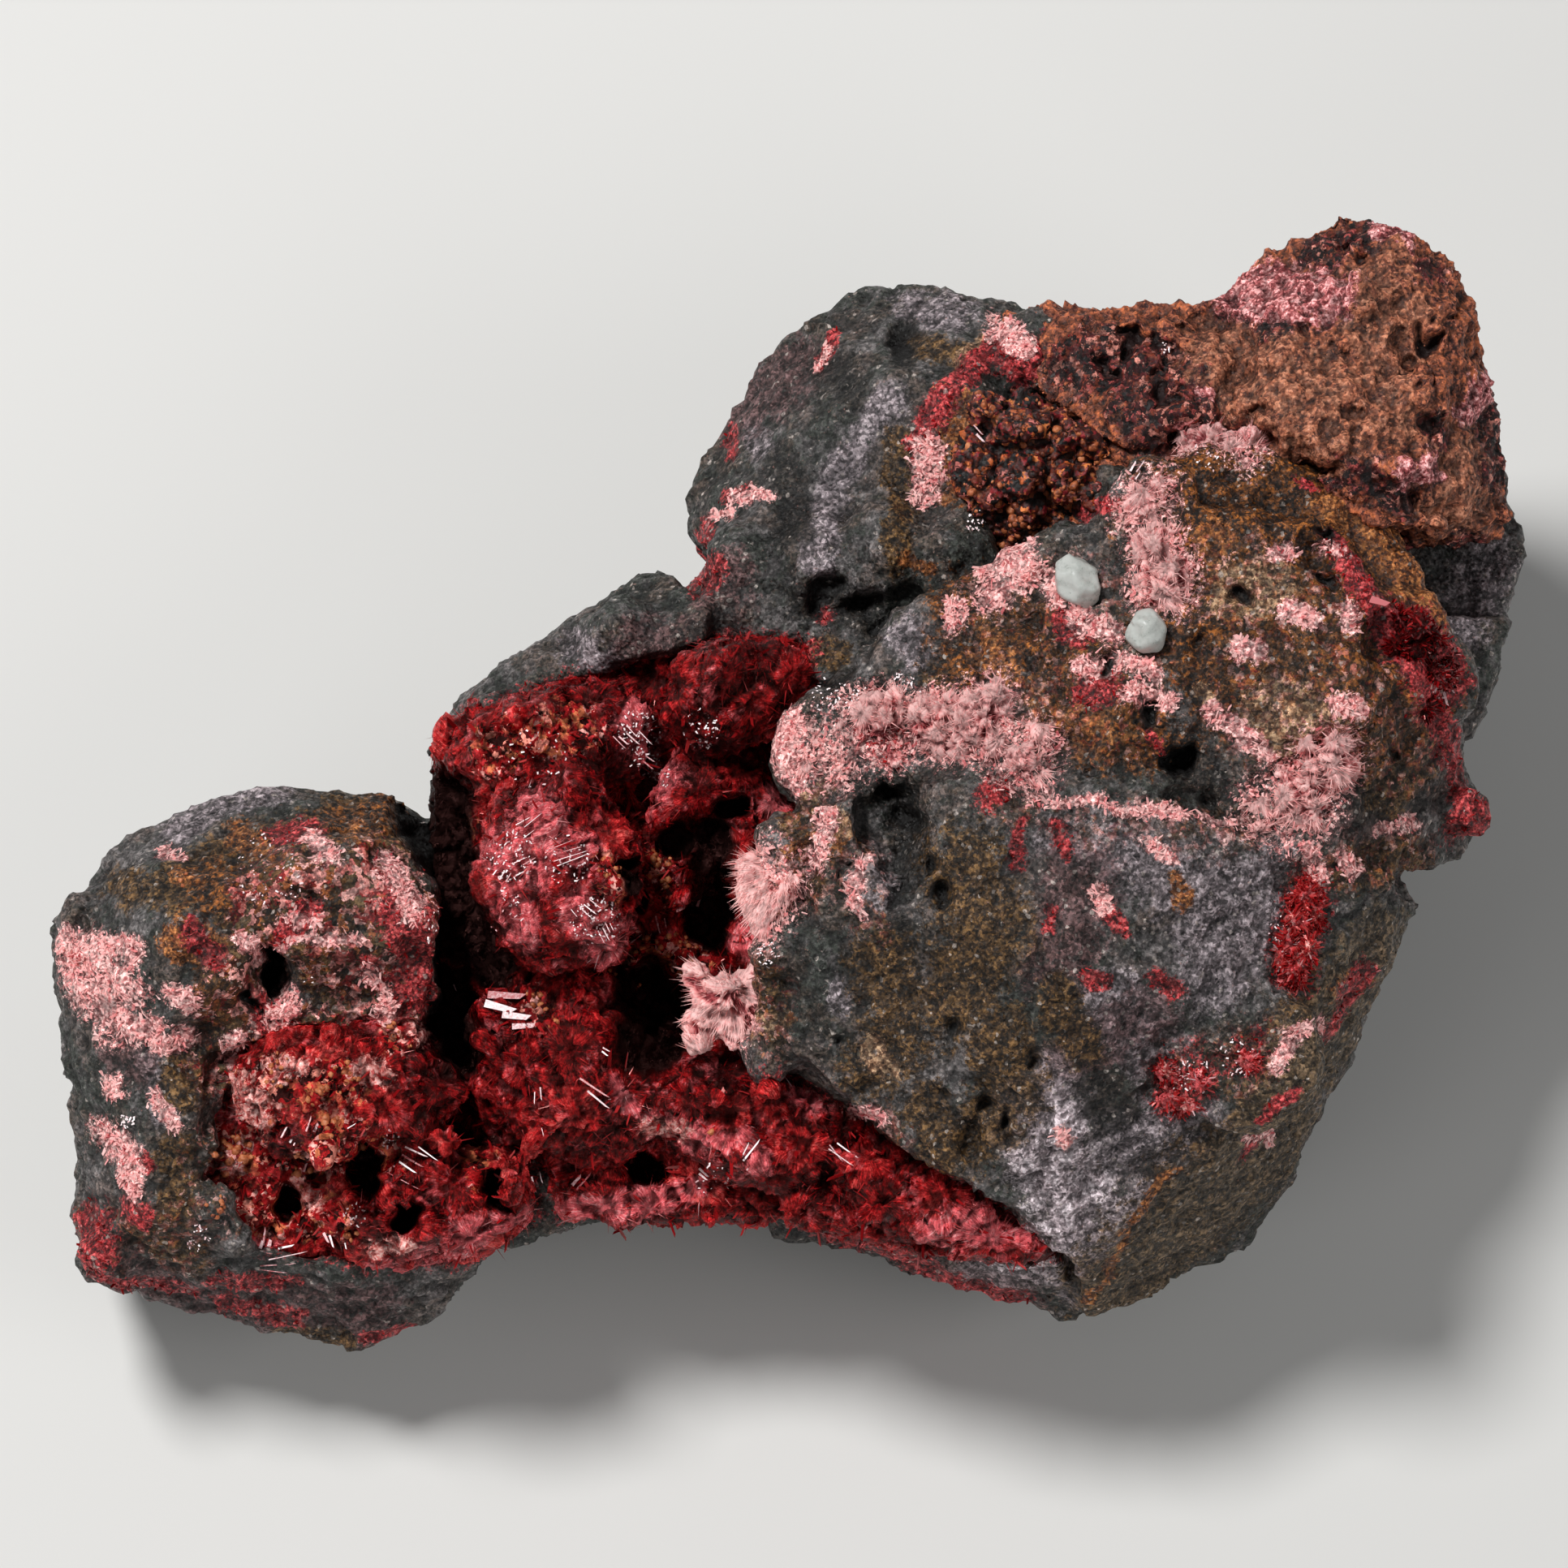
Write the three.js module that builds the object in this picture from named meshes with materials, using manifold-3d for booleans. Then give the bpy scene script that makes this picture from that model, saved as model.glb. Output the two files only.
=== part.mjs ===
// Erythrite specimen: a hand-sized lump of grey host rock whose central hollow is lined with crimson
// erythrite blades, with pale pink fibrous sprays, red druses, a cap of pitted red-brown ore, a pocket of
// rust-coloured grains and two quartz grains. Millimetres, +Z up, resting on its flat underside.
import * as THREE from 'three';
import { ConvexGeometry } from 'three/addons/geometries/ConvexGeometry.js';
import { TessellateModifier } from 'three/addons/modifiers/TessellateModifier.js';
import { mergeVertices } from 'three/addons/utils/BufferGeometryUtils.js';
import { ImprovedNoise } from 'three/addons/math/ImprovedNoise.js';
import Module from 'manifold-3d';

const wasm = await Module();
wasm.setup();

// Driving dimensions
const GAP = 0.3; // clearance that every growth keeps to what carries it
const SHOW_ELEVATION = 70; // degrees: the specimen is best seen from this height above the horizon
const SHOW_AZIMUTH = -27; // degrees: and from this side, which puts its length along X
const VIEW_DISTANCE = 400; // from that viewpoint to the middle of the show side
const RIM_DEPTH = -11; // how far the rim of the show side lies behind its middle
const BASE_HEIGHT = -26.5; // height of the flat underside, below the middle of the show side
const ROCK_FACET = 10; // longest edge of a facet on the rock
const ORE_FACET = 5.5; // on the ore
const CRUST_FACET = 6; // and on the beds of the crimson crust
const ROCK_RELIEF = 1.6; // how far the rock's surface is shifted by its texture
const ORE_RELIEF = 1.3; // the ore's
const CRUST_RELIEF = 0.9; // and the crust's
const FIBRE_DEPTH = 1.3; // how deep the fibrous fans are rooted in the rock

// The show side's own directions. A place is given as [across, up, out]: across to the right, up the show
// side, and out towards the eye. Across and up are as seen from the viewpoint, measured at the rim's depth.
const azimuth = THREE.MathUtils.degToRad(SHOW_AZIMUTH);
const elevation = THREE.MathUtils.degToRad(SHOW_ELEVATION);
const EYE = new THREE.Vector3(
  Math.sin(azimuth) * Math.cos(elevation),
  -Math.cos(azimuth) * Math.cos(elevation),
  Math.sin(elevation),
);
const ACROSS = new THREE.Vector3(Math.cos(azimuth), Math.sin(azimuth), 0);
const UP = new THREE.Vector3().crossVectors(EYE, ACROSS);
const SHOW_BASIS = new THREE.Matrix4().makeBasis(ACROSS, UP, EYE);

function place([across, up, out]) {
  const spread = (VIEW_DISTANCE - out) / (VIEW_DISTANCE - RIM_DEPTH);
  return new THREE.Vector3()
    .addScaledVector(ACROSS, across * spread)
    .addScaledVector(UP, up * spread)
    .addScaledVector(EYE, out);
}

// A repeatable stream of random numbers from 0 to 1
function stream(seed) {
  let state = seed;
  return () => {
    state = (state * 1664525 + 1013904223) % 4294967296;
    return state / 4294967296;
  };
}

// Solids: closed geometry in, closed geometry out
function solidOf(geometry) {
  const bare = geometry.clone();
  bare.deleteAttribute('normal');
  bare.deleteAttribute('uv');
  const merged = mergeVertices(bare, 1e-4);
  return new wasm.Manifold(
    new wasm.Mesh({
      numProp: 3,
      vertProperties: new Float32Array(merged.attributes.position.array),
      triVerts: new Uint32Array(merged.index.array),
    }),
  );
}

function geometryOf(solid) {
  const mesh = solid.getMesh();
  return new THREE.BufferGeometry()
    .setAttribute('position', new THREE.BufferAttribute(new Float32Array(mesh.vertProperties), 3))
    .setIndex(new THREE.BufferAttribute(new Uint32Array(mesh.triVerts), 1));
}

function join(solids) {
  return solids.reduce((whole, piece) => whole.add(piece));
}

function largestOf(solid) {
  const bodies = solid.decompose();
  return bodies.sort((a, b) => b.volume() - a.volume())[0];
}

// Rock texture: long edges are split, and every point is shifted by a smooth field of noise, mostly
// towards or away from the eye
const noise = new ImprovedNoise();

function noiseShift(point, wavelength, amount) {
  const [x, y, z] = [point.x / wavelength, point.y / wavelength, point.z / wavelength];
  const shift = new THREE.Vector3(
    noise.noise(x + 11.3, y, z),
    noise.noise(x, y + 23.7, z),
    noise.noise(x, y, z + 37.1),
  );
  return shift.multiplyScalar(amount * 0.5).addScaledVector(EYE, amount * noise.noise(x, y + 5.1, z + 8.3));
}

function roughened(solid, facet, amount) {
  const splits = 24;
  const split = new TessellateModifier(facet, splits).modify(geometryOf(solid));
  const geometry = mergeVertices(split, 1e-4);
  const points = geometry.attributes.position;
  const point = new THREE.Vector3();
  for (let i = 0; i < points.count; i++) {
    point.fromBufferAttribute(points, i);
    point.add(noiseShift(point, 7, amount)).add(noiseShift(point, 2.9, amount * 0.5));
    points.setXYZ(i, point.x, point.y, point.z);
  }
  return solidOf(geometry);
}

// A convex body whose corners are given as places
function block(corners) {
  return solidOf(new ConvexGeometry(corners.map(place)));
}

// A column that is open towards the eye, from a convex outline of [across, up] corners and the depth of its
// floor; with a gap, the room left inside it
function well(outline, floor, gap = 0) {
  const top = 6;
  return block(
    inset(outline, gap).flatMap(([across, up]) => [[across, up, floor + gap], [across, up, top]]),
  );
}

// A convex outline moved inwards
function inset(outline, distance) {
  const corners = outline.map(([across, up]) => new THREE.Vector2(across, up));
  const inwards = distance * Math.sign(THREE.ShapeUtils.area(corners));
  return corners.map((corner, i) => {
    const before = corner.clone().sub(corners.at(i - 1)).normalize();
    const after = corners[(i + 1) % corners.length].clone().sub(corner).normalize();
    const bisector = new THREE.Vector2(-before.y - after.y, before.x + after.x);
    return corner.clone().addScaledVector(bisector, inwards / (1 + before.dot(after))).toArray();
  });
}

// An oval outline
function oval([across, up], [wide, tall], corners) {
  return Array.from({ length: corners }, (_, i) => {
    const angle = (2 * Math.PI * (i + 0.5)) / corners;
    return [across + wide * Math.cos(angle), up + tall * Math.sin(angle)];
  });
}

// A rounded lump or hollow with its own three half sizes
function lump(middle, [wide, tall, deep], turn = 0, detail = 1, bumps = 0.14) {
  const geometry = new THREE.IcosahedronGeometry(1, detail);
  const points = geometry.attributes.position;
  const point = new THREE.Vector3();
  for (let i = 0; i < points.count; i++) {
    point.fromBufferAttribute(points, i);
    const swell = noise.noise(point.x * 1.7 + middle[0], point.y * 1.7 + middle[1], point.z * 1.7 + turn);
    point.multiplyScalar(1 + bumps * swell);
    points.setXYZ(i, point.x, point.y, point.z);
  }
  geometry.scale(wide, tall, deep);
  geometry.rotateZ(THREE.MathUtils.degToRad(turn));
  geometry.applyMatrix4(SHOW_BASIS);
  const centre = place(middle);
  return solidOf(geometry.translate(centre.x, centre.y, centre.z));
}

function lumpsOf(list, detail = 1) {
  return join(list.map(([middle, size, turn]) => lump(middle, size, turn, detail)));
}

// An erythrite blade: a thin lath with one slanted end, from its root along a direction
function blade(root, along, faceWay, length, width, thickness) {
  const outline = new THREE.Shape([
    new THREE.Vector2(-width / 2, -0.8),
    new THREE.Vector2(width / 2, -0.8),
    new THREE.Vector2(width / 2, length * 0.76),
    new THREE.Vector2(-width / 2, length),
  ]);
  const geometry = new THREE.ExtrudeGeometry(outline, { depth: thickness, bevelEnabled: false });
  geometry.translate(0, 0, -thickness / 2);
  const y = along.clone().normalize();
  const x = new THREE.Vector3().crossVectors(y, faceWay).normalize();
  const z = new THREE.Vector3().crossVectors(x, y);
  geometry.applyMatrix4(new THREE.Matrix4().makeBasis(x, y, z));
  geometry.translate(root.x, root.y, root.z);
  return solidOf(geometry);
}

// Where a line of sight first meets a solid, how far out that is, and which way the surface faces
function surfaceFinder(solid) {
  const mesh = new THREE.Mesh(geometryOf(solid), new THREE.MeshBasicMaterial());
  const caster = new THREE.Raycaster();
  const viewpoint = EYE.clone().multiplyScalar(VIEW_DISTANCE);
  return (across, up) => {
    const sight = place([across, up, RIM_DEPTH]).sub(viewpoint).normalize();
    caster.set(viewpoint, sight);
    const hit = caster.intersectObject(mesh)[0];
    return hit ? { point: hit.point, out: hit.point.dot(EYE), normal: hit.face.normal } : null;
  };
}

// Host rock: blocks by their corners, upper corners first, then those at its rim and its underside
const ROCK_BLOCKS = {
  leftBlock: [
    [-27, -5.5, -3.5], [-18.5, -3, -4.5], [-13, -8.5, -5], [-12.8, -18, -7], [-20, -21, -7],
    [-28.5, -19, -7], [-30.8, -8, -6.5],
    [-32.2, -6, -9.5], [-31.6, -14.5, -11.5], [-31.2, -21.7, -11.5], [-26.6, -23.2, -12.5],
    [-19.4, -24.8, -13.5], [-15.6, -24.1, -13.5], [-12.6, -21.2, -12], [-16.8, 0, -12],
    [-23.4, 0, -11.5], [-28.5, -2.4, -11],
    [-29, -17, -23], [-20, -20.5, -22], [-13, -18, -23], [-13, -7, -30], [-24, -5, -31], [-29, -8, -28],
  ],
  bridge: [
    [-15.3, 0.8, -9.5], [-9, 3.5, -8], [0, 4, -6], [4, -5, -6], [3, -15, -7.5], [-2.8, -18.4, -9.5],
    [-5.4, -19.3, -11], [-8.6, -18.8, -11], [-12.6, -20.6, -12], [-14.5, -10, -10],
    [-13, -16, -23], [0, -16, -23], [4, -6, -30], [-3, 1, -31], [-13, -1, -30],
  ],
  backKnobs: [
    [-14.2, 4.2, -11], [-12.8, 4.5, -10.5], [-11, 4.5, -9.5], [-9.2, 7, -10.5], [-7.4, 8.3, -12],
    [-5.8, 9.8, -12], [-3, 8, -8], [-3, 3, -6], [-10, 1.5, -7.5], [-15.6, 1.5, -11.5],
    [-13, 0, -28], [-5, 4, -31], [-10, 3, -28],
  ],
  backLump: [
    [-2, 9, -9.5], [0.5, 15, -10], [4, 18.3, -10.5], [8.5, 18.5, -10.5], [9.5, 12, -8], [4, 8.5, -7.5],
    [-4.5, 11.4, -15], [-4.1, 13.2, -15.5], [-3.1, 15.2, -16], [-0.6, 18.8, -16.5], [1.2, 20.3, -16.5],
    [3.9, 22.1, -16], [7.5, 21.7, -15.5], [11.5, 20.7, -14.5],
    [-2, 8, -33], [0, 12, -32], [8, 14, -34], [12, 12, -34],
  ],
  greyFront: [
    [2.6, -0.5, -0.6], [7, 0.4, -0.2], [13, 0.2, -0.3], [21, -2.6, -1], [12, -9, 0.4], [16, -6, 0.2],
    [18.4, -16.8, -4.5], [13, -20.8, -5.5], [8, -18, -3.5], [4.5, -15, -3], [-0.4, -11, -3.4], [-1, -6, -3],
    [-0.2, -2, -2.6],
    [27.4, -4.2, -4], [28, -5.3, -6.5], [26, -8.2, -5.5], [22.3, -11.2, -3.5],
    [1, -14, -22], [13, -18, -21], [21, -12, -23], [26, -6, -26], [20, 2, -30], [3, 2, -30],
  ],
  saddle: [
    [1, 2.5, -3], [10, 3.5, -1.4], [20, 2.5, -1.2], [27, 0, -3.4], [25, -4.5, -3.4], [12, -3, -0.8],
    [3, -2, -1.6], [1, -4, -12], [24, -5, -12], [27, 2, -12], [2, 6, -12],
  ],
  rightFlank: [
    [13, -21, -6], [18.4, -17, -5], [22.3, -11.4, -4.2], [26.4, -8.3, -6],
    [13, -23.7, -12], [15, -22.9, -13.5], [18.6, -20.8, -15], [20.8, -20.1, -15.5], [21.6, -15.7, -16],
    [22.9, -12.1, -15.5], [26.4, -6.7, -13],
    [14, -20, -21.5], [19, -17.5, -23], [21.5, -12, -25], [24.5, -7, -27], [12, -10, -26],
  ],
  frontFlank: [
    [-1, -17.5, -8.5], [5, -17.5, -6], [12, -20.5, -6],
    [-1.2, -18.8, -12], [0, -20.2, -13], [3.1, -21.2, -13.5], [6.6, -22, -14], [10.6, -23, -14],
    [13, -23.7, -13.5],
    [0, -17, -21.5], [8, -19, -21], [13, -20, -21], [5, -10, -26],
  ],
  oliveHump: [
    [17.3, 12.6, -3], [15.2, 13, -4.6], [14.6, 10.6, -3.4], [20.5, 12, -1.6], [24, 11.6, -2.6],
    [26.5, 7.5, -2.2], [25, 4, -1.2], [20, 8, -0.8],
    [15.5, 8, -2.2], [10, 6.5, -3], [5, 7.5, -3.8], [2.5, 3.5, -2.8], [8, 2, -1.8], [14, 1.5, -1],
    [22, 0, -1.2], [28, -1, -3.8], [28.4, 5.8, -5], [29.8, 3, -6.4], [30.8, 0, -9], [31, -1.4, -10.5],
    [29.8, -3.3, -9.5], [27.5, -4, -5],
    [27, -2, -28], [25, 8, -32], [8, 8, -32], [6, 0, -30],
  ],
  core: [
    [-12, -2, -9], [-6, 6, -9], [0, 10.5, -9.5], [8, 14, -10.5], [15, 13, -10], [22, 8, -8], [28, 2, -8],
    [27, -5, -8], [20, -12, -8], [8, -16.5, -8], [-4, -16.5, -9.5], [-13, -16, -10],
    [-18, -4, -13], [-18, -17, -12], [-4, 9.4, -15], [11.4, 18.6, -15.5],
    [-18, -5, -30], [-17, -17, -23], [-4, -14.5, -24], [18, -12, -24], [24, 4, -32], [11, 14, -35],
    [-4, 7, -32],
  ],
  backRight: [
    [24, 8, -9], [12, 12, -9],
    [12, 19.5, -13], [18, 19.5, -13], [25, 22, -14], [29.5, 20.5, -16], [31, 15, -15], [32.5, 11.3, -14.5],
    [32.6, 10.2, -15], [31.6, 8, -13], [31, 5.2, -12], [30.4, 1.8, -11],
    [28, 2, -29], [27, 12, -33], [20, 14, -35], [10, 12, -34],
  ],
};

// Rounded knobs that stand out of the rock, as [place, half sizes, turn in degrees]
const ROCK_KNOBS = [
  [[-30.8, -5.9, -9.5], [1.5, 1.5, 2.2], 0],
  [[-29.6, -20.6, -10.5], [1.7, 1.6, 2.6], 0],
  [[-12.6, 3.2, -9.6], [1.9, 1.2, 2.2], 20],
  [[-7.4, 6.6, -9.4], [2.2, 1.6, 2.6], 30],
  [[30, -1.2, -8.6], [1.3, 1.3, 2.2], 0],
];

// Pits and clefts in the rock, in the same form
const ROCK_HOLLOWS = [
  [[4.9, -1.9, -0.6], [2, 3.4, 2.6], 12],
  [[8.2, -15.6, -2.2], [0.9, 1.6, 1.6], -8],
  [[16.9, 1.2, -0.5], [1.3, 1, 1.7], 0],
  [[23.4, 10.3, -1.6], [0.8, 1.6, 1.5], 15],
  [[-22.7, -8.2, -4], [1, 2, 3], 8],
  [[6.2, 19, -9.8], [2.2, 1.2, 1.4], -20],
];

// The hollow that the crimson crystals line: its main room, the pocket on its left and its tail on the right
const VUG_ROOMS = [
  [
    [[-15.9, -0.5], [-15.4, 2.6], [-10, 4.6], [-2.4, 6.6], [1.4, 6.2], [1.4, 2], [0.2, -3], [-1.2, -9],
      [-3, -13], [-9, -17.6], [-13, -15.5], [-15.2, -9]],
    -11,
  ],
  [
    [[-25.6, -12.2], [-22, -10.8], [-15, -9.6], [-11, -12], [-11, -19.2], [-14, -21.1], [-19, -21.2],
      [-24.5, -20.2], [-26, -17]],
    -10.6,
  ],
  [[[-11, -13], [-3, -11.5], [-0.6, -12.2], [4, -15], [2, -19.2], [-4, -19.6], [-10, -19.4]], -10.8],
  [[[0, -13.5], [4, -15], [10, -18.6], [12.6, -20.8], [8, -21.2], [0, -19.6]], -8.8],
];

// Height of the crust's floor in each of those rooms
const CRIMSON_FLOORS = [-8.8, -8.6, -8.4, -7];

// Beds that the crimson blades stand on
const CRIMSON_BEDS = [
  [[-9.9, -3.9, -5.8], [4.2, 4.9, 4.4], 10],
  [[-10.4, 1.8, -7.4], [5.4, 3, 2.8], 18],
  [[-2, 4, -6], [4, 3, 3.2], 18],
  [[-2.8, -1.6, -7.8], [3.4, 4.4, 2.8], 0],
  [[-9, -12.5, -7.8], [5.8, 4.8, 3.2], -20],
  [[-1.6, -14.6, -7.4], [5.4, 3.4, 2.8], -20],
  [[7, -18.6, -7], [6, 2, 2.4], -26],
  [[-19.2, -13.6, -7], [6, 3.6, 2.6], 0],
  [[-15.6, -18.4, -7.8], [6, 2.8, 2.6], 6],
];

// Dark gaps left open between the crystals
const CRIMSON_GAPS = [
  [[-14.8, -3.2, -5], [1, 3, 5], 10],
  [[-13, -8, -5], [0.9, 2.4, 5], 34],
  [[-5.9, -9.8, -4.4], [1.5, 1.8, 5], 0],
  [[-3, -5, -4.4], [0.9, 2.4, 4.4], -8],
  [[-17.6, -16, -5], [2, 1.1, 3], -10],
];

// Where the blades grow: [middle, half sizes, number of blades, longest blade, widest blade]
const CRIMSON_STANDS = [
  [[-9.9, -3.9], [3, 3.8], 2, 2.2, 2.2],
  [[-9, 2], [5.4, 1.6], 2, 2.2, 1.3],
  [[-2, 3.6], [2.4, 1.8], 1, 2.2, 1.3],
  [[-3, -5], [1.8, 4], 1, 2.4, 1.3],
  [[-9, -12.6], [4.6, 3.4], 2, 2.8, 1.4],
  [[-2.6, -14.6], [4, 2.2], 3, 2.3, 1.3],
  [[5, -17.8], [3.2, 1], 1, 1.8, 1],
  [[-19, -14.2], [4.6, 2.8], 4, 2.4, 1.2],
  [[-15.6, -18.2], [4, 1.8], 2, 2.2, 1.2],
];

// The rust-coloured pocket, and the grains in it
const POCKET = { middle: [10.8, 14.5, -6.2], size: [4.7, 5, 4.4] };
const POCKET_GRAINS = 13;

// Brown ore: blocks in the same form as the rock's, and the seats that they fill in the rock
const ORE_BLOCKS = {
  oreEast: [
    [18, 13, -8], [22, 15.5, -6.2], [27.5, 12.5, -7], [29, 17, -7.8], [27, 21.5, -9], [22, 20.5, -8],
    [18.3, 21.4, -12], [22.6, 23.8, -13], [24.8, 25, -13], [27.4, 24.2, -13], [29.4, 22.8, -13],
    [30.6, 20.6, -13], [31.4, 17.4, -13], [31.9, 14.4, -13], [32, 11.8, -12.5],
    [24, 21, -18], [29.5, 17, -18], [30, 10, -16], [18, 12, -15],
  ],
  oreWest: [
    [12.4, 15.6, -9.2], [19, 13, -7.5], [20, 19, -8.5], [11, 17.8, -10],
    [9.4, 19.4, -11.4], [9.8, 20.6, -12.6], [14.8, 20.6, -12], [16.6, 21.1, -12], [19, 21.4, -12],
    [10.4, 19.2, -16], [20, 19, -16], [15, 13, -14],
  ],
  oreNotch: [
    [17.6, 13.6, -8.4], [21.6, 13.6, -7.6], [25.4, 11, -6.8], [28, 12, -7.2], [24, 15.4, -6.8],
    [17.6, 14, -14], [21.6, 13.6, -14], [25.4, 11, -14], [28, 12, -14], [24, 15, -14],
  ],
  oreShelf: [
    [25.5, 12, -6], [28.5, 12, -7.4], [31, 8.4, -9.5], [29, 7, -6.6], [27, 9, -5],
    [31.6, 10.6, -13], [30.4, 7, -12], [26, 10, -14],
  ],
};
const ORE_SEATS = [
  [[[9, 19.4], [11, 17], [14.6, 14.6], [24, 13.8], [26, 26], [18, 24.5], [9.4, 22]], -13.6],
  [[[17.5, 14.2], [22, 13.8], [35, 13.4], [35, 27], [20, 28]], -14.4],
  [[[22, 13.8], [26, 11], [35, 10.6], [35, 15]], -14.4],
  [[[26, 11], [28, 7.4], [35, 7], [35, 12]], -14.4],
];

// Sugary lumps on the ore and the pits between them
const ORE_LUMPS = 8;
const ORE_PITS = [
  [[21.5, 20.6, -8.4], [1.1, 0.8, 1.4], 30],
  [[27.4, 19.4, -7.6], [0.9, 1.9, 2], 10],
  [[19.4, 16, -7.4], [1, 0.9, 1.6], 0],
  [[28.4, 12.8, -6.6], [1, 1.3, 1.6], 20],
  [[17.2, 19, -9], [1.3, 0.9, 1.8], 0],
];

// Fibrous fans, as [middle, radius, from angle, to angle, petals, height above the rock]
const PINK_SPRAYS = {
  pink_fan_upper: [[[0.3, -4.5], 2.7, 95, 265, 6, 0.4]],
  pink_fan_lower: [[[-0.7, -8], 4.2, 200, 265, 4, 2.4]],
  pink_band: [
    [[2.1, 1.5], 1.9, 0, 360, 5, 0.9],
    [[4.4, 2.5], 1.8, 0, 360, 5, 0.9],
    [[6.7, 2.7], 1.5, 0, 360, 5, 0.8],
    [[8.8, 2.7], 1.9, 0, 360, 5, 1],
    [[10.6, 1], 1.7, 0, 360, 5, 0.9],
  ],
  pink_spray_east: [
    [[21.7, -1.2], 1.6, 0, 360, 5, 0.9],
    [[23, -0.4], 1.7, 0, 360, 5, 1],
    [[24, 1.2], 1.4, 0, 360, 5, 0.9],
  ],
  pink_spray_north: [
    [[16.2, 12.3], 1.5, 0, 360, 5, 0.9],
    [[16.4, 10.4], 1.3, 0, 360, 5, 0.8],
    [[16.8, 8.9], 1.4, 0, 360, 5, 0.9],
  ],
  pink_spray_top: [
    [[18.4, 14.7], 1.3, 0, 360, 5, 0.8],
    [[20.2, 14.4], 1.3, 0, 360, 5, 0.7],
  ],
};

// Druses of short crystals, as [middle, half sizes, crystals, longest crystal]
const RED_DRUSES = {
  crimson_patch: [[[18, -12.5], [1.8, 1.6], 3, 1.2], [[20.3, -12], [1.7, 1.4], 2, 1.1]],
  crimson_vein: [[[22.9, -5.2], [0.9, 1.5], 1, 1], [[22.3, -7.4], [0.9, 1.6], 2, 1]],
  rim_crystals: [[[27.4, 6.4], [1.4, 1.3], 3, 1.7], [[28.5, 4.9], [1.2, 1.8], 3, 1.7]],
};

// Quartz grains, as [middle, half sizes, turn]
const QUARTZ_GRAINS = {
  quartz_grain_large: [[12.9, 8.9], [1.1, 1.4, 1.1], 32],
  quartz_grain_small: [[16, 6.7], [1, 1.1, 0.95], 10],
};

const ground = solidOf(new THREE.BoxGeometry(200, 200, 100).translate(0, 0, BASE_HEIGHT - 50));
const rock = roughened(join(Object.values(ROCK_BLOCKS).map(block)), ROCK_FACET, ROCK_RELIEF)
  .add(lumpsOf(ROCK_KNOBS, 0))
  .subtract(lumpsOf(ROCK_HOLLOWS, 0))
  .subtract(ground);

function makeOreBody() {
  const random = stream(41);
  const body = roughened(join(Object.values(ORE_BLOCKS).map(block)), ORE_FACET, ORE_RELIEF);
  const find = surfaceFinder(body);
  const grains = [];
  while (grains.length < ORE_LUMPS) {
    const [across, up] = [13 + 17 * random(), 8 + 15 * random()];
    const spot = find(across, up);
    if (!spot || spot.out < -10) continue;
    const size = 0.8 + 0.8 * random();
    grains.push(lump([across, up, spot.out - 0.3], [size, size * 0.85, size], 180 * random(), 0, 0.3));
  }
  return join([body, ...grains]).subtract(lumpsOf(ORE_PITS, 0));
}

const oreBody = makeOreBody();
const findSurface = surfaceFinder(rock.add(oreBody));

// A fan of fibres on the rock: ridges and furrows that spread from a middle, and the well that it fills. A
// fan that doesn't go all the way round ends in a short back edge. All fans of a growth share one underside.
function makeFan([[across, up], radius, from, to, petals, rise], random, lowest) {
  const out = findSurface(across, up).out + rise;
  const underside = lowest - FIBRE_DEPTH;
  const whole = to - from >= 360;
  const spokes = 2 * petals + (whole ? 0 : 2);
  const step = (to - from) / (whole ? spokes : spokes - 2);
  const reaches = Array.from({ length: spokes }, () => radius * (0.84 + 0.16 * random()));
  const spot = (spoke, level) => {
    const back = !whole && spoke === spokes - 1;
    const angle = THREE.MathUtils.degToRad(back ? (from + to) / 2 + 180 : from + spoke * step);
    const furrow = spoke % 2 === 1;
    const reach = back ? radius * 0.25 : reaches[spoke] * (furrow ? 0.9 : 1);
    const height = level > 0 ? out - (furrow ? 0.95 : 0.45) : underside;
    return place([across + reach * Math.cos(angle), up + reach * Math.sin(angle), height]);
  };
  const geometry = new THREE.CylinderGeometry(1, 1, 2, spokes);
  geometry.rotateX(Math.PI / 2);
  const points = geometry.attributes.position;
  for (let i = 0; i < points.count; i++) {
    const [x, y, level] = [points.getX(i), points.getY(i), points.getZ(i)];
    const turn = (Math.atan2(y, x) / (2 * Math.PI)) * spokes;
    const middle = place([across, up, level > 0 ? out : underside]);
    const point = Math.hypot(x, y) < 0.5 ? middle : spot(Math.round(turn + spokes) % spokes, level);
    points.setXYZ(i, point.x, point.y, point.z);
  }
  const floor = underside - GAP;
  if (whole) {
    const seat = [oval([across, up], [radius * 1.3, radius * 1.3], 6), floor];
    return { solid: solidOf(geometry), seats: [seat] };
  }
  const wide = radius + 0.7;
  const corners = [0, 0.33, 0.67, 1].map((share) => {
    const angle = THREE.MathUtils.degToRad(from - 8 + share * (to - from + 16));
    return [across + wide * Math.cos(angle), up + wide * Math.sin(angle)];
  });
  const back = THREE.MathUtils.degToRad((from + to) / 2 + 180);
  for (const turn of [0.9, -0.9]) {
    corners.push([across + 1.6 * Math.cos(back - turn), up + 1.6 * Math.sin(back - turn)]);
  }
  return { solid: solidOf(geometry), seats: [[corners, floor]] };
}

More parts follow.
